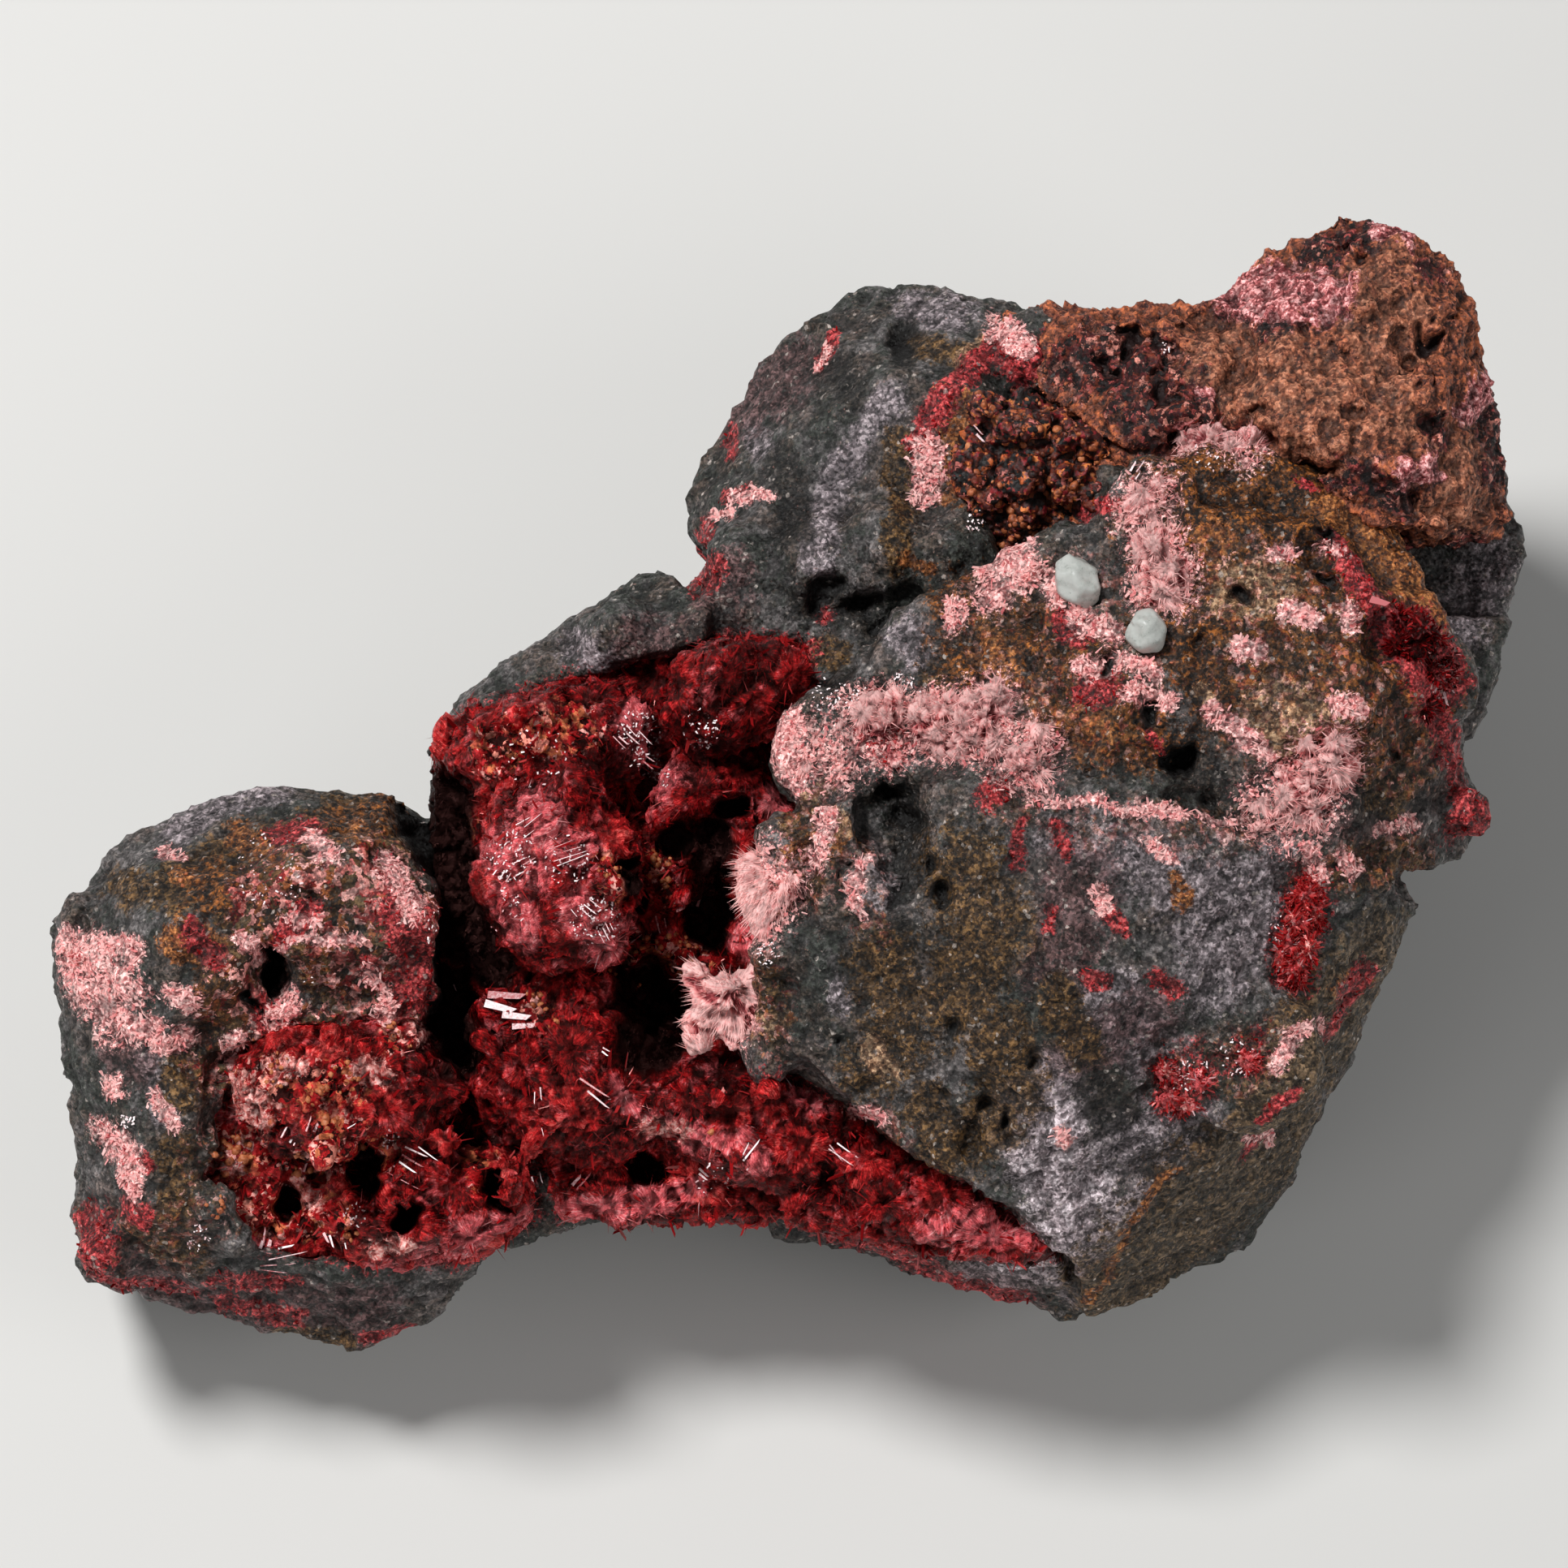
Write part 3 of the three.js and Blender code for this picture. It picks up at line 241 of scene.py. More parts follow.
# A green crumb.
GREEN_CRUMB = (
    (0.45, -17.2, -24.4, -16.8, -24.4),
)
SMOOTH_ROCK = (
    (3.2, -1.5, 8, 0, 13, 3, 18, 8, 20), (1.2, -29, -2.6, -25.4, -0.8, -20, 0), (2.2, 15, -4.2, 20.5, -5),
    (3, 17, -20, 20, -16), (1.8, 30.6, 9.4, 29.6, 6), (2, -7.6, 6.4, -4, 7),
    (0.8, 13.6, -13.6, 14.2, -14.2),
)
# Pits, sunk into the rock and painted near black as shade, each (across, up, depth, radius).
ROCK_PITS = (
    (17.3, 1.1, 1.6, 0.5), (15.9, 2.8, 1.1, 0.5), (18.4, -0.9, 0.7, 0.3), (23.8, 8.8, 0.9, 0.35),
    (24, 10.7, 1, 0.4), (20.3, 8.1, 0.8, 0.3), (22.6, 11.6, 0.6, 0.3), (18.2, 6.4, 0.6, 0.3),
    (1.6, 8.5, 1, 0.7), (3.4, 8.1, 0.9, 0.6), (4.6, 7.2, 0.7, 0.4), (5.4, -1.6, 0.9, 0.6),
    (6.4, -3.6, 0.9, 0.5), (5.2, -4.8, 0.7, 0.4), (7, -5, 0.8, 0.4), (4.6, -0.4, 0.7, 0.4),
    (2.7, -3.4, 0.7, 0.25), (7.3, -11, 0.8, 0.35), (9.8, -15, 0.9, 0.35), (8.6, -14.2, 0.5, 0.3),
    (11, -12, 0.5, 0.25), (2, -11.4, 0.6, 0.25), (14.2, 5.2, 0.8, 0.4), (11, 7.2, 0.6, 0.35),
    (-22.3, -7.4, 2.2, 0.42), (-22.6, -8.5, 2.2, 0.4), (-23.1, -9.6, 1.6, 0.35), (-18.4, -17.2, 1.4, 0.5),
    (5.3, 19.2, 0.8, 0.7), (-31.2, -6.2, 0.4, 0.4), (25.2, 7.4, 0.7, 0.25), (26.6, 1.4, 0.6, 0.3),
    (10.8, 5.4, 0.5, 0.3), (-21, -5, 0.5, 0.3), (-24.2, -13.9, 0.6, 0.3), (16.5, 8.2, 0.5, 0.25),
    (13.2, 0.8, 0.5, 0.3), (20.8, 11.9, 0.5, 0.25), (19.4, 13.4, 0.5, 0.35), (27.8, 2.6, 0.5, 0.25),
    (7.8, 9.6, 0.5, 0.3),
)
# Pits, sunk into the ore and painted dark as shade, each (across, up, depth, radius).
ORE_PITS = (
    (15.2, 19.7, 1.1, 0.5), (16.4, 19.5, 0.9, 0.4), (28.1, 19.4, 1, 0.55), (28.3, 18.1, 0.8, 0.4),
    (28.4, 15.6, 0.7, 0.45), (27.4, 12.5, 0.7, 0.5), (27.9, 11.2, 0.8, 0.4), (19.4, 17, 0.5, 0.35),
    (21, 16.4, 0.6, 0.3), (23, 20.2, 0.6, 0.35), (24, 18.9, 0.5, 0.25), (26.6, 9.2, 0.7, 0.4),
    (28.6, 8.4, 0.7, 0.4), (16.9, 17.6, 0.8, 0.5), (24.9, 23.4, 0.6, 0.3), (22.4, 14.8, 0.5, 0.3),
    (18.2, 20.2, 0.6, 0.35), (25, 16.2, 0.5, 0.25), (27, 21.4, 0.5, 0.3), (30.4, 10.4, 0.6, 0.4),
    (20.6, 19.6, 0.5, 0.3), (14.2, 18.2, 0.9, 0.4), (25.6, 11.6, 0.5, 0.3), (29.2, 20.6, 0.5, 0.3),
)
ORE_PINK = (
    (1.3, 20, 21.6, 22, 21.9, 24, 21.6), (0.7, 23.4, 22.4, 24.2, 21.6), (0.5, 21, 21, 22.6, 20.6),
    (0.7, 30.6, 17.6, 30.2, 16.4), (0.6, 27.6, 13.6, 28.4, 13.8), (0.4, 26, 24.2, 27.2, 23.8),
    (0.25, 18, 17.4, 19, 17.1), (0.5, 17.6, 15.6, 18, 15.2),
)
MAROON = (
    (1.6, 13, 18.6, 16, 18.6, 18, 15.6), (1.2, 13.8, 18.8, 15.6, 17, 16.6, 15), (0.7, 16.4, 14.6, 17, 13.6),
    (0.8, 18.8, 22.6, 19.6, 21, 22, 20.2), (0.8, 23.6, 23.6, 25.2, 24.2), (0.9, 25.2, 13.6, 27, 12.6),
    (0.9, 31.2, 16.2, 31.4, 13.6), (0.7, 28.4, 15.6, 28.8, 15.2), (0.6, 28.8, 22.4, 28, 22.8),
    (0.8, 30, 10.8, 29, 9), (0.5, 20, 14.4, 24, 13.4), (1, 26, 10.6, 28, 9),
)
SANDY_ORE = (
    (2.6, 19.6, 18, 22.6, 17.4, 23.6, 15.6), (1.8, 26, 22, 26.6, 19.4), (1.7, 30, 14, 29.6, 12.2),
    (1.4, 26.4, 17.6, 27, 16),
)
# Rosy crystals and, over the boss, painted sheen.
CRIMSON_ROSE_AND_SHEEN = (
    (0.9, -11, -0.8, -10.4, -1.8), (1.1, -12.4, -2.8, -11.2, -3.8), (0.8, -9.8, -2.6, -8.2, -3.4),
    (1.1, -8.8, -5.6, -7.8, -6.8), (0.7, -12.2, -5, -11.4, -6.6), (0.9, -6.6, 2.6, -6, 1, -5.2, 0.2),
    (0.5, -16.8, -9.2, -16.2, -10.6), (0.7, -17.2, -3.6, -16.4, -5), (0.8, -18.2, -8, -17.6, -10.4),
    (0.6, -5.8, -14.8, -4.6, -15.2, -3, -15.8), (0.3, -7.5, -13.1, -6.6, -14.2),
    (0.8, -17.6, -21.2, -14.6, -20.6), (0.6, -14, -19.8, -9, -18.6, -4, -18), (0.6, -1.8, -15.8, -1, -16.4),
    (0.7, -0.6, -0.8, 0.6, 1.2), (0.8, 1, -13.6, 3.4, -14.8), (0.9, 7, -19.6, 10.4, -19.6, 11.8, -19.8),
    (0.5, -24, -13.8, -24.8, -15.2), (0.6, -25.4, -16, -24.8, -16.4), (0.7, -1.6, -6.8, -0.4, -7.6),
    (0.6, -22.8, -20.2, -20.8, -20.8),
)
CRIMSON_RUST = (
    (1.2, -23.4, -13.4, -19.4, -13.2), (1.1, -24.4, -16, -21, -17.2), (1.2, -20, -15.6, -18, -16.4),
    (1, -24.6, -18.8, -20, -19), (0.7, -15.4, -1.6, -14, -1.8), (0.5, -14.2, -3, -13.8, -2.6),
    (0.6, -7.8, -3.4, -7.6, -4.8), (0.7, -5.6, -3.4, -5.4, -4.6), (0.9, -6.4, -7.4, -4, -8),
    (0.5, -5.6, -10.6, -5.2, -10.4), (0.5, -11, -9.2, -10.6, -10.4), (1.1, -24.4, -16.2, -23.2, -17),
    (0.8, -20.2, -13.4, -19, -13), (0.8, -20, -15.4, -21.4, -17), (0.6, -25.4, -18.8, -24.8, -19),
    (1, -13, 1.6, -9, 2.6), (0.5, -17.4, -11, -17.2, -11.8), (0.7, -13.6, -16.6, -13.4, -17.2),
    (0.8, -23.4, -14.6, -22, -13.6),
)
# Slots in the crust, sunk away from the eye and painted near black as shade.
CRIMSON_DEEP = (
    (1.8, -15.5, -1, -15.1, -3.2, -14.5, -5, -13.9, -6.4), (1.2, -13.2, -7.2, -12.7, -8),
    (1.2, -14.7, -8.8, -14.4, -12), (1.7, -6.2, -9.6, -5.8, -11.2), (1, -3.2, -2.4, -3.2, -6.4),
    (0.5, -2.6, -1.2, -1.8, -1.2), (0.45, -12.9, -17.4, -12.7, -18.4), (0.6, -18.4, -16.6, -18.3, -17.6),
    (0.5, -22, -18.3, -21.8, -18.5), (0.6, -6.2, -17, -6, -16.8), (0.7, -5, -2.6, -4.6, -2.4),
    (0.5, -7, -3.8, -6.6, -5), (0.5, -17, -19.4, -16.6, -19),
)
# Laths turned to throw the key light to the eye, with a pale painted highlight colour.
# Bright laths, each (across, up, direction in degrees, length, width, how many side by side, spacing).
BRIGHT_LATHS = (
    (-12, -3.6, 58, 1.2, 0.09, 4, 0.3), (-11.2, -3.5, 24, 1.4, 0.07, 3, 0.3),
    (-9.2, -2.9, 19, 1.7, 0.06, 4, 0.24), (-8.6, -5.6, -46, 0.8, 0.09, 4, 0.3),
    (-7.8, -6.5, -62, 0.7, 0.09, 4, 0.24), (-11, -1.7, 34, 1.1, 0.06, 3, 0.3),
    (-6.6, 1.8, -50, 1.1, 0.1, 5, 0.26), (-5.8, 0.7, -40, 0.8, 0.09, 3, 0.26),
    (-11.6, -5.6, 46, 0.8, 0.08, 3, 0.24), (-21.6, -15.2, 68, 1.6, 0.13, 3, 0.3),
    (-20.7, -14.8, 72, 1.4, 0.17, 2, 0.24), (-21.3, -16.7, 68, 1.4, 0.13, 3, 0.27),
    (-17, -17.4, -35, 2.1, 0.11, 1, 0), (-16.2, -16.7, -38, 1.5, 0.12, 5, 0.3),
    (-22.9, -19.6, 88, 0.9, 0.14, 1, 0), (-22.8, -20.2, 80, 0.5, 0.24, 2, 0.3),
    (-21.3, -20.3, 8, 1.4, 0.14, 1, 0), (-20, -20.1, -68, 0.8, 0.17, 2, 0.24),
    (-19.2, -20.5, -70, 0.6, 0.15, 1, 0), (-22.3, -21.2, -4, 1.9, 0.11, 3, 0.22),
    (-18.7, -14.8, 35, 0.8, 0.07, 1, 0), (-7.9, -13.95, -38, 1.9, 0.15, 2, 0.17),
    (-7.7, -11.9, -40, 0.6, 0.11, 2, 0.16), (-10.75, -13.9, -80, 0.8, 0.11, 2, 0.22),
    (-10.6, -15.4, -76, 0.9, 0.1, 1, 0), (-10.8, -17.6, -70, 0.9, 0.15, 3, 0.24),
    (-8.8, -17.2, 50, 1.2, 0.18, 2, 0.24), (-5.4, -6.2, -82, 1.3, 0.1, 2, 0.26),
    (-6.6, -6.9, 35, 0.7, 0.07, 1, 0), (-2.3, -5.4, -55, 0.6, 0.11, 1, 0),
    (-1.5, -16.1, 62, 1.3, 0.11, 3, 0.24), (2.6, -16.3, -38, 1.4, 0.11, 3, 0.24),
    (-3.5, -17.2, -45, 0.6, 0.17, 2, 0.2), (-14.4, -9.1, -65, 0.7, 0.07, 1, 0),
    (-12.3, -9.4, -10, 2.1, 0.5, 1, 0), (-12, -9.85, -10, 2.2, 0.5, 1, 0),
    (-11.5, -10.3, -10, 1.7, 0.5, 1, 0), (-11.4, -10.75, -8, 1.5, 0.46, 1, 0),
    (-4.5, -5.2, 20, 0.6, 0.3, 2, 0.36), (-3.75, -5.1, 76, 1.2, 0.24, 1, 0),
    (-12.6, -6.2, 42, 0.8, 0.16, 2, 0.2), (-12.3, -5.3, 75, 0.8, 0.14, 1, 0),
    (8.7, 15.3, -50, 0.9, 0.14, 2, 0.16), (26.8, 7.6, -28, 1.5, 0.5, 1, 0),
    (29.1, 3.7, -78, 0.8, 0.22, 1, 0), (15.55, 13.9, 60, 0.7, 0.14, 3, 0.18),
)
# Faces turned to throw the key light to the eye, with a pale painted highlight colour.
# Clusters of small bright faces, each (across, up, radius, how many).
SPARKLES = (
    (-6.4, 2.2, 1, 46), (-6.1, 0.9, 0.7, 24), (-5.4, 0.3, 0.5, 10), (-3.6, 2.4, 0.9, 26),
    (-12, -3.2, 1.1, 44), (-9.6, -3.3, 1.1, 26), (-8.3, -6, 1.1, 50), (-12.1, -5, 0.5, 10),
    (-0.6, -7.5, 0.6, 14), (-17.4, -15.6, 0.5, 10), (-18.9, -19, 0.5, 10), (-25.8, -20, 0.6, 12),
    (17.9, -12.9, 0.9, 22), (20, -12, 0.9, 12), (8.4, 11.6, 0.5, 12), (18.8, 14.6, 0.8, 14),
    (-20.8, -9.2, 0.8, 12), (2, 3.9, 0.8, 18), (3.6, 3.7, 0.8, 18), (5.4, 4.4, 0.8, 16),
    (-28.9, -14.8, 0.35, 14), (-22.6, -3.8, 1.6, 22), (22, -6.4, 0.7, 8), (-3, -17.4, 0.8, 10),
    (-14, -8, 0.6, 8), (16.8, 19.2, 0.25, 5), (-10.8, 1.2, 1.4, 12), (-15.4, -6.2, 0.8, 8),
    (23.8, -0.4, 1, 10), (29, 4.2, 0.5, 8),
)
# Clusters of rusty grains, each (across, up, radius, how many, size).
RUST_CLUSTERS = (
    (-15, -1.6, 0.8, 16, 0.36), (-14.1, -3.3, 0.4, 5, 0.36), (-5.4, -3.5, 0.5, 10, 0.42),
    (-5.3, -4.3, 0.3, 6, 0.4), (-7.7, -4, 0.6, 9, 0.3), (-5.2, -7.6, 1.4, 34, 0.34),
    (-7.6, -8.3, 0.3, 3, 0.36), (-5.6, -10.6, 0.3, 4, 0.36), (-10.9, -9.6, 0.6, 10, 0.34),
    (-3.2, -15.3, 0.02, 1, 0.5), (-24.2, -16.4, 0.9, 20, 0.5), (-20, -15, 0.5, 6, 0.6),
    (-21.4, -17, 0.8, 10, 0.42), (-18.6, -16, 0.05, 1, 0.45), (-19.6, -13, 0.9, 14, 0.36),
    (-17.3, -10.8, 0.4, 5, 0.36), (-25, -18.6, 0.6, 8, 0.36), (-20.6, -13.6, 0.6, 7, 0.36),
    (-16.5, -11.6, 0.1, 2, 0.3), (-22.4, -12.6, 0.8, 12, 0.3), (-10, -10.4, 0.1, 2, 0.36),
    (-6.4, -9, 0.3, 4, 0.3), (-19, -19.6, 0.5, 6, 0.36), (-26.4, -4.2, 0.3, 3, 0.3),
)
# The pink growths, with the centres of those that spread from listed ones.
PINK_CENTRES = {
    "pink_fan_upper": ((0.3, -3.6),), "pink_fan_lower": ((-2.2, -9), (-3.4, -12.4)), "pink_band": (),
    "pink_spray_east": (), "pink_spray_north": (), "pink_spray_top": (),
}
# The red hearts of the pink growths.
PINK_CORE = (
    (0.6, 3.4, 1.8, 5.2, 1.9), (0.5, 8.8, 0, 9.6, -0.6), (0.4, 11, 3.4, 12.2, 3.2),
)
# Where the rock dips, and where the crust is raised, darkened with painted shade, or pale.
ROCK_DIPS = (
    (1.5, -25, -11.4, -22, -10, -16.2, -8.6),
)
CRIMSON_RAISED = (
    (2.5, -22.5, -14.5, -17.5, -15),
)
CRIMSON_PAINTED_SHADE = (
    (2.4, -9, 3, -5, 4.6, -1.6, 5), (1.4, -4, 1, -2.4, 2.6),
)
CRIMSON_PALE = (
    (0.9, -24.2, -13.4, -23.3, -14.3), (0.4, -22.6, -12.7, -21, -12.4), (0.5, -25.2, -15.8, -24.4, -16.6),
    (0.7, -16.8, -8.8, -16, -10.8), (0.5, -18.6, -12.4, -17.6, -12.9), (0.35, -22.8, -20.4, -20.4, -20.9),
    (0.45, -6, -14.9, -4.4, -15.2), (0.4, -18, -20.4, -16.4, -20.4), (0.5, 1, -12.8, 3, -14.4),
    (0.4, -21.4, -17.6, -20.6, -18.4),
)
# The boss in the middle of the crust, where the rays run one way.
BOSS = (
    (1.2, -13, -1, -12.6, -5), (1.5, -12.2, -1.6, -9, -2.4), (1.6, -12, -3.6, -8.6, -4),
    (1.5, -11.4, -5.8, -8.4, -6),
)
# Round seats of the growths that the rock fills in, each (across, up, radius).
GROWTH_SEATS = (
    (2.1, 1.5, 2.6), (4.4, 2.5, 2.5), (6.7, 2.7, 2.1), (8.8, 2.7, 2.6), (10.6, 1, 2.35), (21.7, -1.2, 2.2),
    (23, -0.4, 2.35), (24, 1.2, 1.95), (16.2, 12.3, 2.05), (16.4, 10.4, 1.8), (16.8, 8.9, 1.95),
    (18.4, 14.7, 1.8), (20.2, 14.4, 1.8), (18, -12.5, 3.45), (20.3, -12, 3.3), (22.9, -5.2, 2.3),
    (22.3, -7.4, 2.3), (12.9, 8.9, 2.6), (16, 6.7, 2.2),
)
# How far the fill goes into the seat and how far it stays below the rock about it.
PLUG_DEPTH = (3.8, 0.25)
# Balls of rock that fill gaps behind the crusts, each (across, up, depth, radius).
FILLS = (
    (-0.1, -2.6, -2.9, 1.3), (0.1, -4.2, -2.9, 1.3), (0, -5.8, -2.9, 1.3), (-0.2, -7.4, -2.9, 1.3),
    (-0.2, -9, -4, 1.3), (-0.4, -10.6, -4.4, 1.3), (-0.6, -11.8, -4.8, 1.3), (-1.5, 9.5, -10.5, 2.2),
    (1.5, 9.6, -10, 2.4), (4.5, 10.2, -9.4, 2.4), (7.5, 9.8, -8.8, 2.2), (-25, -12.2, -7, 1),
    (-25.6, -14, -7, 1), (-25.6, -16, -7, 1), (-25, -18.4, -7.2, 1), (-24, -20, -7.6, 1),
    (-22, -11.2, -6.6, 1), (-19.6, -10.4, -6.4, 1), (-17.4, -10, -6.4, 1), (-16, -9.6, -6.6, 1),
    (18.6, 13, -7.8, 1.9), (20.6, 12.8, -8.4, 2.2), (22.4, 12.2, -8.6, 2.2), (24, 11.2, -8.2, 2.2),
    (25.4, 10.2, -7.8, 2), (26.4, 8.8, -7.2, 1.9), (14.6, 12.6, -8.6, 1.7), (10.8, 18.6, -12, 2),
    (12, 19.4, -12.6, 1.9), (27.2, 6.6, -6, 2.2), (28.4, 4.8, -6.6, 2.2), (26, 6.8, -4.4, 1.8),
    (26.8, 4.4, -4.4, 1.8),
)
# Balls that fill out the ore, the pocket's crust and the pink fans in the same way.
ORE_FILLS = ((14.6, 13.2, -9.9, 1.7), (16, 13.8, -9.8, 1.6), (17.6, 14, -9.8, 1.5), (18.4, 13.2, -10, 1.5))
POCKET_FILLS = (
    (8.6, 11.9, -9.4, 1.3), (10.4, 11.4, -9.8, 1.5), (12, 11.2, -9.8, 1.5), (13.4, 11.6, -9.8, 1.5),
)
PINK_FILLS = {"pink_fan_lower": (
    (-3.9, -8.4, -5.3, 0.6), (-3.8, -11.3, -5.3, 0.6), (-3.4, -9.4, -5.2, 0.8),
    (-3.5, -10.4, -5.3, 0.75), (-2.6, -9.2, -5, 0.9),
)}
# The marks under the names by which the finishes read them.
ROCK_MARKS = {
    "olive": OLIVE, "ochre": OCHRE, "lilac": PALE_LILAC, "pink": PINK_POWDER, "red": RED_STAIN, "tan": TAN,
    "dark": DARK_STAIN_AND_SHADOW, "plum": PLUM, "green_crumb": GREEN_CRUMB, "mixed": MIXED, "confetti": CONFETTI,
    "umber": UMBER, "chalk": CHALK, "flank": FLANK,
}
ORE_MARKS = {"bloom": ORE_PINK, "maroon": MAROON, "sandy": SANDY_ORE}
# The dressed pieces that carry the bright faces and the rusty grains.
CARRIERS = ("rock_body", "ore_body", "pocket_crust", "crimson_bed", "rim_crystals_bed")
# The solids that redden the rock beside them.
RED_NODES = ["crimson_crystal_crust", "crimson_patch", "crimson_vein", "rim_crystals"]
# The small druses, each with its tint and how rosy it is.
DRUSES = (("crimson_patch", 0.62, 0.85), ("crimson_vein", 0.5, 0.5), ("rim_crystals", 0.16, 0))


def shade(red, green, blue):
    """A colour as seen on a screen, 0 to 255, turned to the linear values that a material takes."""
    def linear(value):
        value /= 255
        return value / 12.92 if value <= 0.04045 else ((value + 0.055) / 1.055) ** 2.4

    return (linear(red), linear(green), linear(blue))


def as_linear(tone):
    """A colour's linear values, from a setting or from its red, green and blue on a screen."""
    return shade(*tone) if isinstance(tone, tuple) else tuple(tone)


def colour(name, description, values):
    """A colour setting with its default."""
    return FloatVectorProperty(
        name=name, description=description, default=shade(*values), subtype="COLOR", min=0, max=1
    )


def length(name, description, millimetres):
    """A length setting with its default in millimetres."""
    return FloatProperty(
        name=name, description=description, default=millimetres * MM, unit="LENGTH", min=0, precision=5
    )


def count(name, description, value):
    """A number-of-pieces setting with its default."""
    return IntProperty(name=name, description=description, default=value, min=0)


def power(name, description, watts):
    """A lamp setting with its default in watts."""
    return FloatProperty(name=name, description=description, default=watts, unit="POWER", min=0)


class StageSettings(PropertyGroup):
    """Strengths of the lights and the colour of the floor."""

    key: power("Key light", "Soft light from the upper left", 1.9)
    fill: power("Fill light", "Soft light from the right", 0.5)
    low: power("Low light", "Soft light from the lower left", 0.4)
    room: FloatProperty(
        name="Room", description="Strength of the light from all round", default=0.12, min=0
    )
    floor: colour("Floor", "Pale floor", (226, 225, 222))


class RockSettings(PropertyGroup):
    """Sizes and colours of the host rock."""

    voxel: length("Mesh size", "Spacing of the rock's mesh before its relief", 0.25)
    most_faces: count("Most faces", "Faces left on the rock once its mesh is thinned", 190000)
    lumps: length("Lumps", "Height of the rock's broad lumps", 0.36)
    chips: length("Chips", "Height of the rock's broken facets", 0.22)
    grit: length("Grit", "Height of the rock's grains", 0.11)
    crumbs: count("Crumbs", "Sandy grains on the rock", 2200)
    flakes: count("Flakes", "Small pink and crimson crystals on the rock", 6600)
    grey: colour("Grey", "Fresh rock", (80, 77, 76))
    dark: colour("Dark", "Shaded and stained rock", (30, 29, 28))
    light: colour("Light", "Bruised and powdery rock", (128, 121, 120))
    green: colour("Green", "Greenish tint in the rock", (54, 58, 52))


class OreSettings(PropertyGroup):
    """Sizes and colours of the brown ore and the rust-coloured crusts."""

    voxel: length("Mesh size", "Spacing of the ore's mesh before its relief", 0.15)
    grit: length("Grit", "Height of the ore's sugary grains", 0.06)
    grains: count("Grains", "Loose grains on the ore", 1300)
    balls: count("Balls", "Orange balls in the pocket", 280)
    brown: colour("Brown", "Fresh ore", (150, 84, 60))
    rust: colour("Rust", "Orange parts of the ore", (184, 100, 60))
    maroon: colour("Maroon", "Dark red parts of the ore", (62, 20, 18))
    sand: colour("Sand", "Dull light patches of the ore", (160, 98, 72))


class CrimsonSettings(PropertyGroup):
    """Sizes and colours of the crimson crystals."""

    voxel: length("Mesh size", "Spacing of the crust's mesh before its relief", 0.175)
    rosettes: count("Rosettes", "Bundles of crystals that spread from one root", 230)
    slivers: count("Slivers", "Fine crystals that lie along the rays of the rosettes", 6500)
    blades: count("Blades", "Larger single blades", 900)
    deep: colour("Deep", "Crystals in the depth of the hollow", (72, 4, 7))
    bright: colour("Bright", "Crystals with light in them", (172, 22, 27))
    rose: colour("Rose", "Powdery and bruised crystals", (218, 108, 108))
    # The pale colour of the glint faces is a painted highlight.
    glint_white: colour("White", "Pearly faces", (238, 206, 208))
    orange: colour("Orange", "Rusty grains among the crystals", (202, 112, 74))


class PinkSettings(PropertyGroup):
    """Sizes and colours of the pale pink sprays."""

    voxel: length("Mesh size", "Spacing of the sprays' mesh before their relief", 0.1)
    rosettes: count("Rosettes", "Rosettes for each square centimetre of spray", 95)
    fibres: count("Fibres", "Fibres for each square millimetre of spray", 58)
    pale: colour("Pale", "Ends of the fibres", (255, 202, 197))
    pink: colour("Pink", "Middle of the fibres", (248, 160, 158))
    red: colour("Red", "Roots of the fibres", (152, 34, 46))


class QuartzSettings(PropertyGroup):
    """The finish of the quartz grains."""

    body: colour("Body", "Milky quartz", (222, 225, 219))
    clearness: FloatProperty(
        name="Clearness", description="Share of the light that passes", default=0.25, min=0, max=1
    )


def linked(mesh, name):
    """A new object of a mesh in the scene."""
    piece = bpy.data.objects.new(name, mesh)
    bpy.context.scene.collection.objects.link(piece)
    return piece


def solid_copy(names):
    """A bmesh of the solids' own shapes, with their doubles merged."""
    form = bmesh.new()
    for name in names:
        form.from_mesh(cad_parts[name].data)
    bmesh.ops.remove_doubles(form, verts=form.verts, dist=DOUBLES)
    return form


def evaluated(piece):
    """Applies the piece's modifiers to its mesh."""
    graph = bpy.context.evaluated_depsgraph_get()
    mesh = bpy.data.meshes.new_from_object(piece.evaluated_get(graph))
    piece.modifiers.clear()
    old = piece.data
    piece.data = mesh
    bpy.data.meshes.remove(old)
    mesh.name = piece.name


def remeshed(form, name, spacing):
    """An object with an evenly spaced mesh in the shape of a bmesh."""
    mesh = bpy.data.meshes.new(name)
    form.to_mesh(mesh)
    form.free()
    piece = linked(mesh, name)
    remesh = piece.modifiers.new("even mesh", "REMESH")
    remesh.mode = "VOXEL"
    remesh.voxel_size = spacing
    evaluated(piece)
    return piece


def places_of(mesh):
    """The mesh's points as rows of x, y and z."""
    values = np.empty(len(mesh.vertices) * 3, np.float32)
    mesh.vertices.foreach_get("co", values)
    return values.reshape(-1, 3).astype(float)


def facing_of(mesh):
    """The mesh's normals at its points."""
    values = np.empty(len(mesh.vertices) * 3, np.float32)
    mesh.vertex_normals.foreach_get("vector", values)
    return values.reshape(-1, 3).astype(float)


def move_points(mesh, places):
    """Gives the mesh's points their new places."""
    mesh.vertices.foreach_set("co", places.astype(np.float32).ravel())
    mesh.update()


